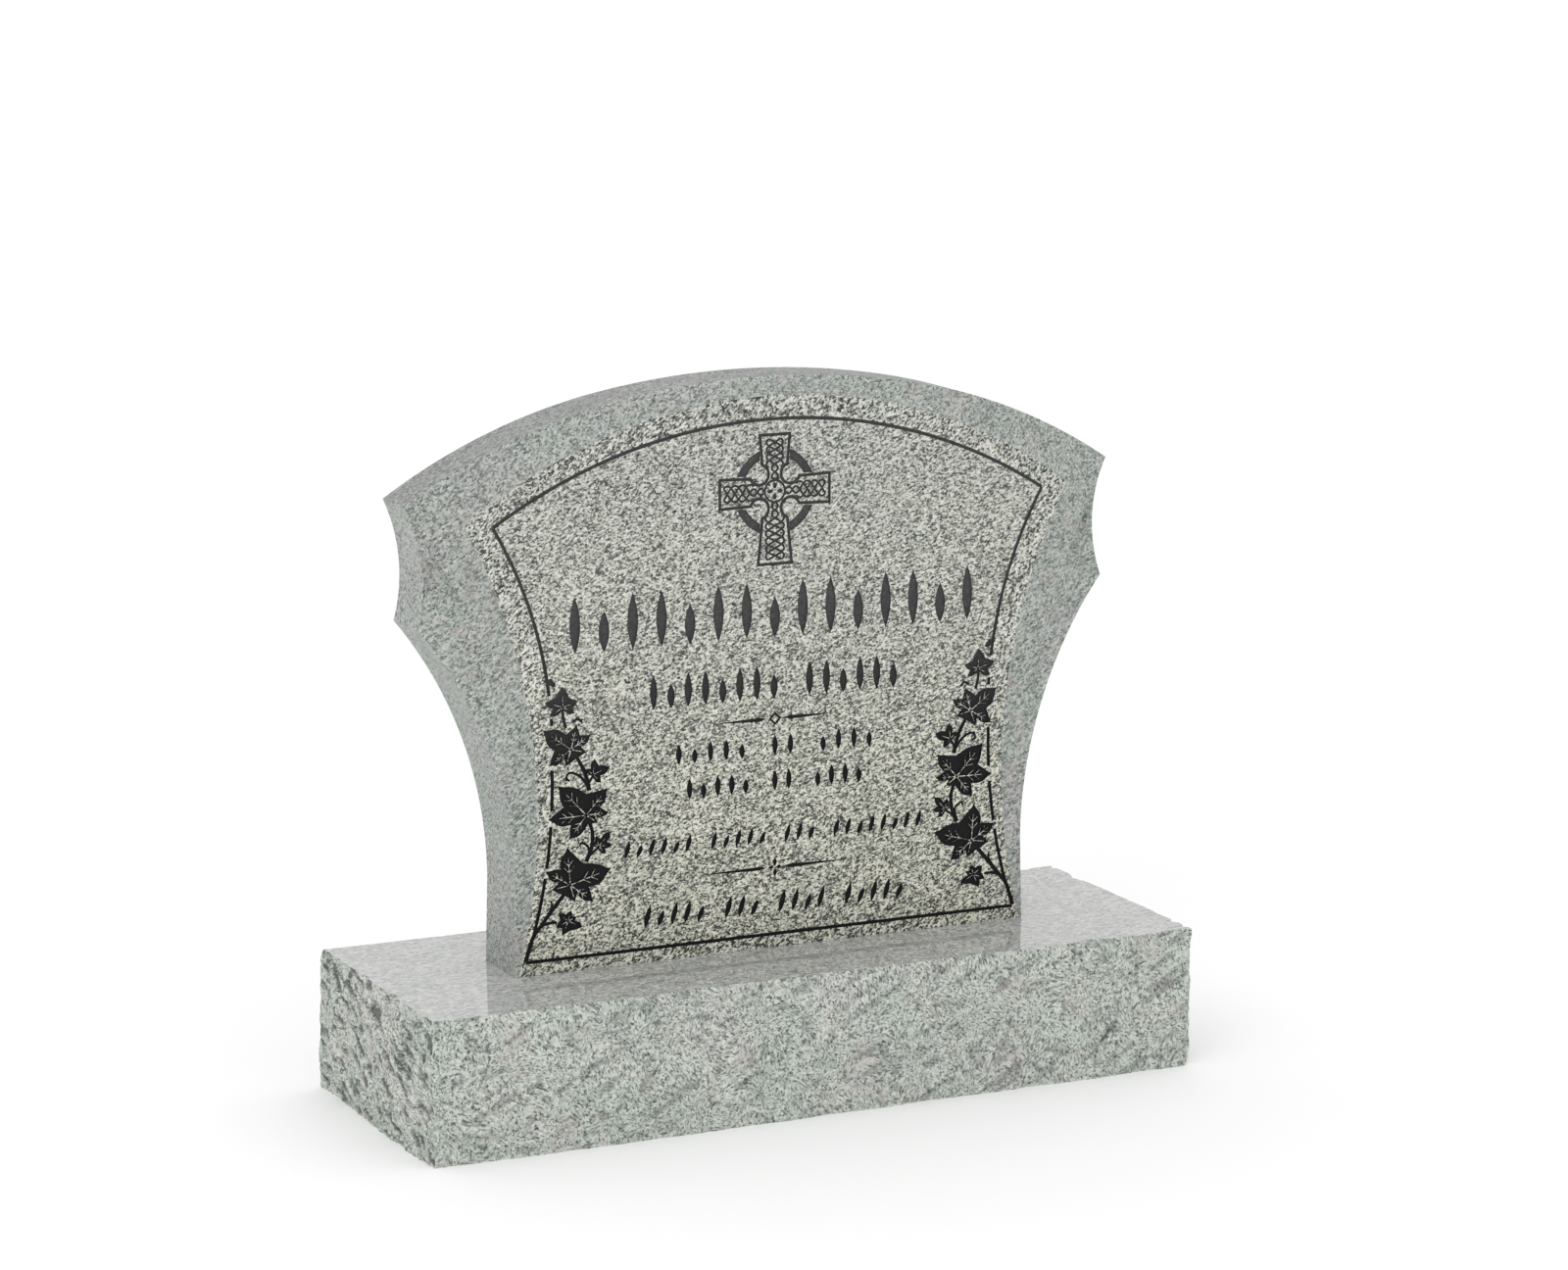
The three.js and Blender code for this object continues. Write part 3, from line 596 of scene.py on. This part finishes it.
def add_front(shell, rim):
    """Fills the flat front: its polished panel, honed margin and the carving cut into it."""
    loop = [p for i, p in enumerate(rim) if math.dist(p, rim[i - 1]) > 0.01]
    polish_side = arc(POLISH_FOOT, PANEL_CORNER, POLISH_RISE, 80)
    crown = [p for p in loop if p[1] > PANEL_CORNER[1] + 0.5]
    panel = polish_side + crown + [mirrored(p) for p in polish_side[::-1]]
    ivy, veins = ivy_figures()
    figures = border_figures() + cross_figures() + row_figures() + divider_figures() + ivy
    outlines, owners = [loop, panel, inside_border()], [None, None, None]
    for number, figure in enumerate(figures):
        for depth, outline in enumerate(figure):
            outlines.append(outline)
            owners.append(("figure", number, depth))
    for vein in veins:
        outlines.append(vein)
        owners.append(("vein", 0, 0))
    points, triangles, inside = triangulated(outlines)
    kinds = []
    for around in inside:
        if 0 not in around:
            kinds.append(None)
            continue
        depths = {}
        vein = False
        for index in around:
            if owners[index] is None:
                continue
            kind, number, depth = owners[index]
            vein = vein or kind == "vein"
            if kind == "figure":
                depths[number] = depths.get(number, 0) + 1
        cut = any(count % 2 == 1 for count in depths.values()) and not vein
        kinds.append(CARVED if cut else POLISHED if 2 in around else MARGIN if 1 in around else HONED)
    top = lambda p: (p[0], DIE_FRONT, p[1])
    sunk = lambda p: (p[0], DIE_FRONT + CUT_DEPTH, p[1])
    cut_edges, whole_edges = set(), set()
    for kind, triangle in zip(kinds, triangles):
        if kind is None:
            continue
        place = sunk if kind == CARVED else top
        shell.face([place(points[i]) for i in triangle], kind, FLOOR if kind == CARVED else FRONT)
        edges = cut_edges if kind == CARVED else whole_edges
        edges.update(zip(triangle, triangle[1:] + triangle[:1]))
    for a, b in cut_edges:
        if (b, a) in whole_edges:
            one, two = points[a], points[b]
            shell.face((sunk(two), sunk(one), top(one), top(two)), CARVED, WALL)


# The rock-pitched base

BELLY_START = 0.18
CORNER_REACH = 25
CORNER_FADE = 40
CORNER_CALM = 0.4
FOOT_ROUNDING = 5
FOOT_ROUNDED = 0.07
LIP_REACH = 7
LIP_START = 0.78
LIP_NARROWNESS = 12
EDGE_RIPPLE = 1.5
COLUMN_STEP = 3.4
ROWS = 60

# Share of the swell that is left at each corner, from the front left one anticlockwise seen from above
CORNER_SWELLS = [0.15, 0.2, 0.4, 0.95]

# The solid's uneven outline was centred on its box, which moved it by this much
CENTRING = (-0.197, 0.695)

# The way in which the flakes lie on the split ends, across the stone and down towards the front
FLAKE_LIE = (0.92, 0.39)
CHIP_DEPTH = 9
CHIP_LENGTH = 19
CHIP_RARITY = 0.25
CHIP_HEIGHT = 22
CREVICE_START = 0.14
CREVICE_RANGE = 0.9

# Cracks in the front face: from one point to another, how wide and how deep
CRACKS = [((482, 84), (434, 32), 5, 4), ((502, 158), (517, 153), 5, 4), ((505, 26), (590, 15), 4, 2)]

# Of the front, the right end, the back and the left end
OUTWARD = [(0, -1), (1, 0), (0, 1), (-1, 0)]
SWELLS = [FACE_SWELL, END_SWELL, FACE_SWELL, END_SWELL]


def lattice(i, j):
    wave = math.sin(i * 127.1 + j * 311.7) * 43758.5453
    return wave - math.floor(wave)


def smooth_noise(x, y):
    i, j = math.floor(x), math.floor(y)
    ease = lambda t: t * t * (3 - 2 * t)
    u, v = ease(x - i), ease(y - j)
    low = lattice(i, j) + (lattice(i + 1, j) - lattice(i, j)) * u
    high = lattice(i, j + 1) + (lattice(i + 1, j + 1) - lattice(i, j + 1)) * u
    return 2 * (low + (high - low) * v) - 1


def rock_swell(run, level, corner_distance, corner_swell):
    belly = math.sin(math.pi * (BELLY_START + (1 - BELLY_START) * level)) ** 0.7 if level < 1 else 0
    spalls = 0.45 * smooth_noise(run / 95, level * 2.3) + 0.25 * smooth_noise(run / 41 + 9, level * 4.4 + 3)
    clear = 1 - (1 - corner_swell) * math.exp(-corner_distance / CORNER_REACH)
    return min(1, belly * (0.7 + spalls) * clear)


def rock_grain(x, y, z, ends):
    """Height of the broken surface in millimetres, and how deep a crevice it is there, from 0 to 1, which darkens the
    colour as painted shade.
    """
    p = Vector((x, y, z))
    if ends:
        along = y * FLAKE_LIE[0] + z * FLAKE_LIE[1]
        across = y * FLAKE_LIE[1] - z * FLAKE_LIE[0]
        lie = Vector((x * 0.4, across * 0.034, along * 0.011))
    else:
        bend = 1.6 * noise.noise(p * 0.012)
        lie = Vector((x * 0.016 + bend, y * 0.4, z * 0.03 + bend))
    flakes = noise.ridged_multi_fractal(lie, 0.9, 2.1, 4, 0.9, 1.6) - 1.1
    facets = noise.fractal(p * 0.035, 0.8, 2.2, 4)
    crumbs = noise.fractal(p * 0.16, 0.7, 2.3, 3)
    cracks = noise.fractal(lie * 2.4 + Vector((7, 3, 1)), 0.9, 2.2, 3)
    # A crevice is sunk into the surface and also darkened with painted shade.
    crevice = max(0, min(1, (-cracks - CREVICE_START) / CREVICE_RANGE * 3))
    height = (3.6 if ends else 1.3) * flakes + (2.2 if ends else 1.6) * facets + 1.1 * crumbs
    return height - (3.2 if ends else 1.4) * crevice, crevice * (1 if ends and x < 0 else 0.4)


def crack_at(x, z):
    """How deep the cracks of the front are at a point, and how much painted shade darkens them, from 0 to 1."""
    depth, dark = 0, 0
    bend = 5 * noise.noise(Vector((x * 0.05, z * 0.05, 5)))
    broken = 0.55 + 0.9 * noise.noise(Vector((x * 0.11, z * 0.11, 9)))
    for start, end, width, deep in CRACKS:
        way = (end[0] - start[0], end[1] - start[1])
        along = ((x - start[0]) * way[0] + (z - start[1]) * way[1]) / (way[0] ** 2 + way[1] ** 2)
        along = min(max(along, 0), 1)
        taper = 0.35 + 0.65 * math.sin(math.pi * along)
        share = max(0, 1 - math.dist((x, z + bend), mix(start, end, along)) / (width * taper))
        depth, dark = max(depth, deep * share), max(dark, min(1, 1.6 * share * broken))
    return depth, dark


def lip(x, level):
    """The right end's top arris juts out a little, and its foot is rounded."""
    climb = max(0, (level - LIP_START) / (1 - LIP_START))
    reach = LIP_REACH * climb - FOOT_ROUNDING * max(0, 1 - level / FOOT_ROUNDED) ** 2
    return reach * (x / BASE_HALF_LENGTH) ** LIP_NARROWNESS if x > 0 else 0


def side_reaches(spot, side, run, total_run, length):
    """How far a side stands out at every row up from a spot at its foot, and the painted shade of a crevice there."""
    reaches = []
    corner_swell = CORNER_SWELLS[side if run < length / 2 else (side + 1) % 4]
    for row in range(ROWS + 1):
        level = row / ROWS
        z = level * BASE_HEIGHT
        reach = EDGE_RIPPLE * (smooth_noise(total_run / 60, 40 + 3 * level) - 1)
        if row < ROWS:
            reach += SWELLS[side] * rock_swell(total_run, level, min(run, length - run), corner_swell)
        rough, crevice = rock_grain(spot[0], spot[1], z, side % 2 == 1)
        if side == 0:
            depth, dark = crack_at(spot[0], z)
            rough, crevice = rough - depth, max(crevice, dark)
        edge = min(1, (1 - level) * 12 + 0.22) * min(1, CORNER_CALM + min(run, length - run) / CORNER_FADE)
        chip = CHIP_DEPTH * max(0, smooth_noise(total_run / CHIP_LENGTH, 90) - CHIP_RARITY)
        reach += rough * edge - (0.6 if row == ROWS else 0)
        reach -= chip * max(0, 1 - (BASE_HEIGHT - z) / CHIP_HEIGHT) ** 1.5
        reaches.append((reach, crevice))
    return reaches


def base_columns():
    """Points of the four sides, row above row, each with the painted shade of its crevice; the corners take up both
    sides' reach.
    """
    corners = [(-BASE_HALF_LENGTH, -BASE_HALF_DEPTH), (BASE_HALF_LENGTH, -BASE_HALF_DEPTH),
               (BASE_HALF_LENGTH, BASE_HALF_DEPTH), (-BASE_HALF_LENGTH, BASE_HALF_DEPTH)]
    lengths = [math.dist(corners[k], corners[(k + 1) % 4]) for k in range(4)]
    starts = [sum(lengths[:k]) for k in range(4)]
    first = [side_reaches(corners[k], k, 0, starts[k], lengths[k]) for k in range(4)]
    last = [side_reaches(corners[(k + 1) % 4], k, lengths[k], starts[k] + lengths[k], lengths[k]) for k in range(4)]
    columns = []
    for k in range(4):
        a, b = corners[k], corners[(k + 1) % 4]
        along, outward, length = direction(a, b), OUTWARD[k], lengths[k]
        steps = round(length / COLUMN_STEP)
        for i in range(steps):
            run = length * i / steps
            spot = mix(a, b, i / steps)
            near_start, near_end = (max(0, 1 - away / CORNER_FADE) for away in (run, length - run))
            column = []
            for row, (reach, crevice) in enumerate(side_reaches(spot, k, run, starts[k] + run, length)):
                slide = near_end * first[(k + 1) % 4][row][0] - near_start * last[(k + 3) % 4][row][0]
                x = spot[0] + outward[0] * reach + along[0] * slide
                y = spot[1] + outward[1] * reach + along[1] * slide
                column.append((x + lip(x, row / ROWS), y, row / ROWS * BASE_HEIGHT, crevice))
            columns.append(column)
    return columns


def base_shell(limit):
    columns = base_columns()
    low, high = limit
    shell = Shell()
    held = lambda v, n: min(max(v + CENTRING[n], low[n] + 0.2), high[n] - 0.2)
    for i, column in enumerate(columns):
        columns[i] = [(held(x, 0), held(y, 1), z) for x, y, z, _ in column]
        for point, (_, _, _, crevice) in zip(columns[i], column):
            shell.shade_marks[shell.vertex(point)] = crevice
    columns.append(columns[0])
    for row in range(ROWS):
        shell.strip([c[row] for c in columns], [c[row + 1] for c in columns], 1, 0)
    ring = lambda row: [c[row] for c in columns[:-1]]
    for row, material in ((0, 1), (ROWS, 0)):
        loop = ring(row)
        points, triangles, inside = triangulated([[(x, y) for x, y, _ in loop]])
        z = loop[0][2]
        for triangle, around in zip(triangles, inside):
            if around:
                turned = triangle if row else triangle[::-1]
                shell.face([(points[i][0], points[i][1], z) for i in turned], material, 1 + material)
    return shell


# Granite

def node(tree, kind, **inputs):
    made = tree.nodes.new(kind)
    for key, value in inputs.items():
        socket = made.inputs[key.replace("_", " ")]
        if isinstance(value, bpy.types.NodeSocket):
            tree.links.new(value, socket)
        else:
            socket.default_value = value
    return made


def maths(tree, operation, a, b=0.0, clamp=False):
    made = tree.nodes.new("ShaderNodeMath")
    made.operation = operation
    made.use_clamp = clamp
    for socket, value in zip(made.inputs, (a, b)):
        if isinstance(value, bpy.types.NodeSocket):
            tree.links.new(value, socket)
        else:
            socket.default_value = value
    return made.outputs[0]


def ramp(tree, value, stops):
    made = tree.nodes.new("ShaderNodeValToRGB")
    tree.links.new(value, made.inputs[0])
    elements = made.color_ramp.elements
    while len(elements) < len(stops):
        elements.new(0.5)
    for element, (place, colour) in zip(elements, stops):
        element.position = place
        element.color = (*colour, 1)
    return made.outputs[0]


def mixed(tree, share, a, b, blend="MIX"):
    made = tree.nodes.new("ShaderNodeMix")
    made.data_type = "RGBA"
    made.blend_type = blend
    for index, value in ((0, share), (6, a), (7, b)):
        if isinstance(value, bpy.types.NodeSocket):
            tree.links.new(value, made.inputs[index])
        else:
            made.inputs[index].default_value = value
    return made.outputs[2]


def places(tree, lie, stretch, swirl):
    """Object coordinates in which things come out longer along one direction, bent by slow swirls."""
    coordinates = tree.nodes.new("ShaderNodeTexCoord").outputs["Object"]
    bend = node(tree, "ShaderNodeTexNoise", Vector=coordinates, Scale=13.0, Detail=1.0)
    offset = tree.nodes.new("ShaderNodeVectorMath")
    offset.operation = "MULTIPLY_ADD"
    tree.links.new(bend.outputs["Color"], offset.inputs[0])
    offset.inputs[1].default_value = (swirl,) * 3
    tree.links.new(coordinates, offset.inputs[2])
    turned = tree.nodes.new("ShaderNodeMapping")
    turned.vector_type = "TEXTURE"
    tree.links.new(offset.outputs[0], turned.inputs["Vector"])
    turned.inputs["Rotation"].default_value = Vector(lie).to_track_quat("X", "Z").to_euler()
    turned.inputs["Scale"].default_value = (stretch, 1, 1)
    return coordinates, turned.outputs["Vector"]


def grain(tree, coordinates, size):
    """One random number from 0 to 1 for every crystal of about this size, in metres, with ragged outlines."""
    ragged = node(tree, "ShaderNodeTexNoise", Vector=coordinates, Scale=1.3 / size, Detail=2.0)
    offset = tree.nodes.new("ShaderNodeVectorMath")
    offset.operation = "MULTIPLY_ADD"
    tree.links.new(ragged.outputs["Color"], offset.inputs[0])
    offset.inputs[1].default_value = (size * 0.9,) * 3
    tree.links.new(coordinates, offset.inputs[2])
    cells = node(tree, "ShaderNodeTexVoronoi", Vector=offset.outputs[0], Scale=1 / size)
    split = tree.nodes.new("ShaderNodeSeparateColor")
    tree.links.new(cells.outputs["Color"], split.inputs[0])
    return split.outputs[0]


def by_height(tree, coordinates, low, high):
    split = tree.nodes.new("ShaderNodeSeparateXYZ")
    tree.links.new(coordinates, split.inputs[0])
    share = tree.nodes.new("ShaderNodeMapRange")
    tree.links.new(split.outputs["Z"], share.inputs["Value"])
    share.inputs["From Min"].default_value = low
    share.inputs["From Max"].default_value = high
    return share.outputs["Result"]


def granite(name, stops, roughness, lie=(0.8, 0, 0.6), stretch=1.5, swirl=0.0, size=0.0036, fleck=0.35,
            low_stops=None, bump=None, rosy=0.0, crevice_shade=False):
    material = bpy.data.materials.new(name)
    material.use_nodes = True
    tree = material.node_tree
    shader = tree.nodes["Principled BSDF"]
    coordinates, laid = places(tree, lie, stretch, swirl)
    coarse = grain(tree, laid, size)
    fine = grain(tree, laid, size * 0.5)
    value = maths(tree, "ADD", maths(tree, "MULTIPLY", coarse, 0.62), maths(tree, "MULTIPLY", fine, 0.38))
    colour = ramp(tree, value, stops)
    if low_stops:
        colour = mixed(tree, by_height(tree, coordinates, 0.3, 0.92), ramp(tree, value, low_stops), colour)
    mica = grain(tree, laid, size * 0.7)
    clusters = node(tree, "ShaderNodeTexNoise", Vector=coordinates, Scale=90.0, Detail=2.0).outputs["Fac"]
    dark = maths(tree, "LESS_THAN", mica, maths(tree, "MULTIPLY", clusters, 0.34))
    colour = mixed(tree, maths(tree, "MULTIPLY", dark, fleck), colour, (0.03, 0.032, 0.03, 1))
    clouds = node(tree, "ShaderNodeTexNoise", Vector=coordinates, Scale=14.0, Detail=3.0)
    tone = ramp(tree, clouds.outputs["Fac"], [(0.3, (0.93, 0.95, 0.93)), (0.7, (1.05, 1.04, 1.03))])
    colour = mixed(tree, 1.0, colour, tone, "MULTIPLY")
    tint = ramp(tree, mica, [(0.0, (0.93, 1.0, 1.0)), (0.5, (1.0, 1.0, 1.0)), (1.0, (1.05, 1.0, 0.97))])
    colour = mixed(tree, 1.0, colour, tint, "MULTIPLY")
    if rosy:
        hues = node(tree, "ShaderNodeTexNoise", Vector=coordinates, Scale=9.0, Detail=2.0).outputs["Fac"]
        hue = ramp(tree, hues, [(0.38, (0.98, 1.004, 0.994)), (0.62, (1.02, 0.99, 1.01))])
        colour = mixed(tree, 1.0, colour, hue, "MULTIPLY")
        spots = node(tree, "ShaderNodeTexNoise", Vector=coordinates, Scale=24.0, Detail=2.0).outputs["Fac"]
        share = ramp(tree, spots, [(0.58, (0, 0, 0)), (0.72, (rosy, rosy, rosy))])
        colour = mixed(tree, share, colour, (0.4, 0.325, 0.33, 1))
    # Painted shade: the crevices and cracks darken the colour.
    if crevice_shade:
        mark = tree.nodes.new("ShaderNodeAttribute")
        mark.attribute_name = "crevice"
        patchy_shade = maths(tree, "MULTIPLY", mark.outputs["Fac"], maths(tree, "ADD", fine, 0.5), clamp=True)
        colour = mixed(tree, maths(tree, "MULTIPLY", patchy_shade, 0.9), colour, (0.045, 0.05, 0.045, 1))
    tree.links.new(colour, shader.inputs["Base Color"])
    spread = tree.nodes.new("ShaderNodeMapRange")
    tree.links.new(value, spread.inputs["Value"])
    spread.inputs["To Min"].default_value = roughness[1]
    spread.inputs["To Max"].default_value = roughness[0]
    tree.links.new(spread.outputs["Result"], shader.inputs["Roughness"])
    shader.inputs["IOR"].default_value = 1.5
    if bump:
        pits = node(tree, "ShaderNodeTexNoise", Vector=coordinates, Scale=bump[1], Detail=4.0).outputs["Fac"]
        lift = node(tree, "ShaderNodeBump", Height=pits, Strength=bump[2], Distance=bump[0])
        tree.links.new(lift.outputs["Normal"], shader.inputs["Normal"])
    return material


def carved_fill():
    """Dark fill in the carving: nearly black below, and a painted reflection makes it more of a charcoal grey higher
    up.
    """
    material = bpy.data.materials.new("carved_fill_and_reflection")
    material.use_nodes = True
    tree = material.node_tree
    shader = tree.nodes["Principled BSDF"]
    coordinates, laid = places(tree, (0.8, 0, 0.6), 1.5, 0.0)
    # Painted reflection: the fill grows lighter higher up.
    height = by_height(tree, coordinates, 0.5, 0.74)
    fill_and_reflection = mixed(tree, height, (0.008, 0.008, 0.009, 1), (0.06, 0.061, 0.061, 1))
    grit = grain(tree, laid, 0.0022)
    speck = ramp(tree, grit, [(0.0, (0.75, 0.75, 0.75)), (0.9, (1.1, 1.1, 1.1)), (1.0, (1.5, 1.5, 1.5))])
    tree.links.new(mixed(tree, 1.0, fill_and_reflection, speck, "MULTIPLY"), shader.inputs["Base Color"])
    shader.inputs["Roughness"].default_value = 0.75
    shader.inputs["Specular IOR Level"].default_value = 0.2
    pits = node(tree, "ShaderNodeTexNoise", Vector=coordinates, Scale=900.0, Detail=3.0).outputs["Fac"]
    lift = node(tree, "ShaderNodeBump", Height=pits, Strength=0.4, Distance=0.0006)
    tree.links.new(lift.outputs["Normal"], shader.inputs["Normal"])
    return material


POLISHED_STOPS = [
    (0.12, (0.006, 0.006, 0.006)),
    (0.24, (0.07, 0.071, 0.066)),
    (0.34, (0.22, 0.224, 0.205)),
    (0.46, (0.39, 0.397, 0.363)),
    (0.60, (0.5, 0.507, 0.467)),
    (0.90, (0.68, 0.68, 0.648)),
]
MARGIN_STOPS = [
    (0.16, (0.004, 0.005, 0.004)),
    (0.28, (0.05, 0.053, 0.048)),
    (0.37, (0.2, 0.206, 0.188)),
    (0.47, (0.4, 0.408, 0.375)),
    (0.62, (0.52, 0.528, 0.487)),
    (0.90, (0.7, 0.702, 0.665)),
]
LOW_STOPS = [
    (0.17, (0.002, 0.002, 0.002)),
    (0.29, (0.019, 0.019, 0.017)),
    (0.37, (0.14, 0.144, 0.12)),
    (0.46, (0.36, 0.367, 0.31)),
    (0.61, (0.58, 0.583, 0.5)),
    (0.90, (0.77, 0.765, 0.67)),
]
HONED_STOPS = [
    (0.12, (0.08, 0.087, 0.082)),
    (0.30, (0.215, 0.232, 0.218)),
    (0.50, (0.345, 0.367, 0.347)),
    (0.70, (0.4, 0.423, 0.402)),
    (0.90, (0.52, 0.54, 0.52)),
]
# Painted shade: the crown's top is the honed granite made darker, against the extra light that falls on it from above.
SHADED_CROWN_STOPS = [
    (0.12, (0.07, 0.073, 0.07)),
    (0.30, (0.18, 0.187, 0.182)),
    (0.50, (0.29, 0.298, 0.292)),
    (0.70, (0.335, 0.343, 0.337)),
    (0.90, (0.43, 0.438, 0.432)),
]
TOP_STOPS = [
    (0.12, (0.22, 0.225, 0.22)),
    (0.50, (0.445, 0.45, 0.445)),
    (0.90, (0.61, 0.61, 0.61)),
]
ROCK_STOPS = [
    (0.12, (0.07, 0.077, 0.07)),
    (0.27, (0.22, 0.238, 0.22)),
    (0.45, (0.465, 0.494, 0.458)),
    (0.90, (0.635, 0.672, 0.626)),
]
polished = granite("granite_polished", POLISHED_STOPS, (0.12, 0.3), lie=(0.95, 0, 0.31), stretch=1.5, size=0.0026,
                   low_stops=LOW_STOPS, fleck=0.7)
margin = granite("granite_polished_margin", MARGIN_STOPS, (0.12, 0.3), size=0.003, low_stops=LOW_STOPS, fleck=0.85)
honed = granite("granite_honed", HONED_STOPS, (0.4, 0.6), size=0.0028, bump=(0.0003, 500.0, 0.25), fleck=0.5,
                rosy=0.3)
rock = granite("granite_rock_pitched", ROCK_STOPS, (0.6, 0.85), lie=(0.35, -0.85, -0.38), stretch=1.7, swirl=0.05,
               size=0.0029, bump=(0.0015, 260.0, 0.7), fleck=0.35, rosy=0.3, crevice_shade=True)
shaded_crown_top = granite("granite_shaded_crown_top", SHADED_CROWN_STOPS, (0.45, 0.65), size=0.0028, bump=(0.0003, 500.0, 0.25), fleck=0.5)
base_top = granite("granite_base_top", TOP_STOPS, (0.0, 0.03), lie=(1, 0, 0), stretch=2.2, size=0.003, fleck=0.2)

shell, rim = die_shell()
add_front(shell, rim)
die = shell.build("die_stone", [polished, honed, carved_fill(), shaded_crown_top, margin], math.radians(30))
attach(die, "root")
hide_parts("die")

low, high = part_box("base")
limits = ([v / MM for v in low], [v / MM for v in high])
base = base_shell(limits).build("base_stone", [base_top, rock], math.radians(38))
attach(base, "root")
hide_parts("base")


# Floor, light and camera

def pale_floor():
    material = bpy.data.materials.new("pale_floor")
    material.use_nodes = True
    shader = material.node_tree.nodes["Principled BSDF"]
    shader.inputs["Base Color"].default_value = (0.97, 0.97, 0.97, 1)
    shader.inputs["Roughness"].default_value = 0.9
    mesh = bpy.data.meshes.new("floor")
    reach = 90
    corners = [(-reach, -reach, 0), (reach, -reach, 0), (reach, reach, 0), (-reach, reach, 0)]
    mesh.from_pydata(corners, [], [(0, 1, 2, 3)])
    mesh.materials.append(material)
    floor = bpy.data.objects.new("floor", mesh)
    bpy.context.scene.collection.objects.link(floor)


def area_light(name, place, target, size, power):
    data = bpy.data.lights.new(name, "AREA")
    data.shape = "DISK"
    data.size = size
    data.energy = power
    lamp = bpy.data.objects.new(name, data)
    lamp.location = place
    lamp.rotation_euler = (Vector(place) - Vector(target)).to_track_quat("Z", "Y").to_euler()
    bpy.context.scene.collection.objects.link(lamp)


pale_floor()
area_light("softbox_left", (-3.5, -3.5, 3.4), (0, 0, 0.6), 3, 40)
world = bpy.data.worlds.new("studio")
world.use_nodes = True
world.node_tree.nodes["Background"].inputs["Color"].default_value = (1, 1, 1, 1)
world.node_tree.nodes["Background"].inputs["Strength"].default_value = 1.04
bpy.context.scene.world = world
bpy.context.scene.view_settings.view_transform = "Standard"

# The photograph is 1600 pixels wide; its focal length is 4700 of them
IMAGE_WIDTH = 1600
FOCAL_PIXELS = 4700
TARGET = Vector((0.0388, 0, 0.6694))
DISTANCE = 6.7902
TURN = math.radians(-25.453)
TILT = math.radians(10.748)
backwards = Vector((math.sin(TURN) * math.cos(TILT), -math.cos(TURN) * math.cos(TILT), math.sin(TILT)))
data = bpy.data.cameras.new("camera")
data.sensor_fit = "HORIZONTAL"
data.sensor_width = 36
data.lens = data.sensor_width * FOCAL_PIXELS / IMAGE_WIDTH
data.clip_end = 400
camera = bpy.data.objects.new("camera", data)
camera.location = TARGET + backwards * DISTANCE
camera.rotation_euler = backwards.to_track_quat("Z", "Y").to_euler()
bpy.context.scene.collection.objects.link(camera)
bpy.context.scene.camera = camera
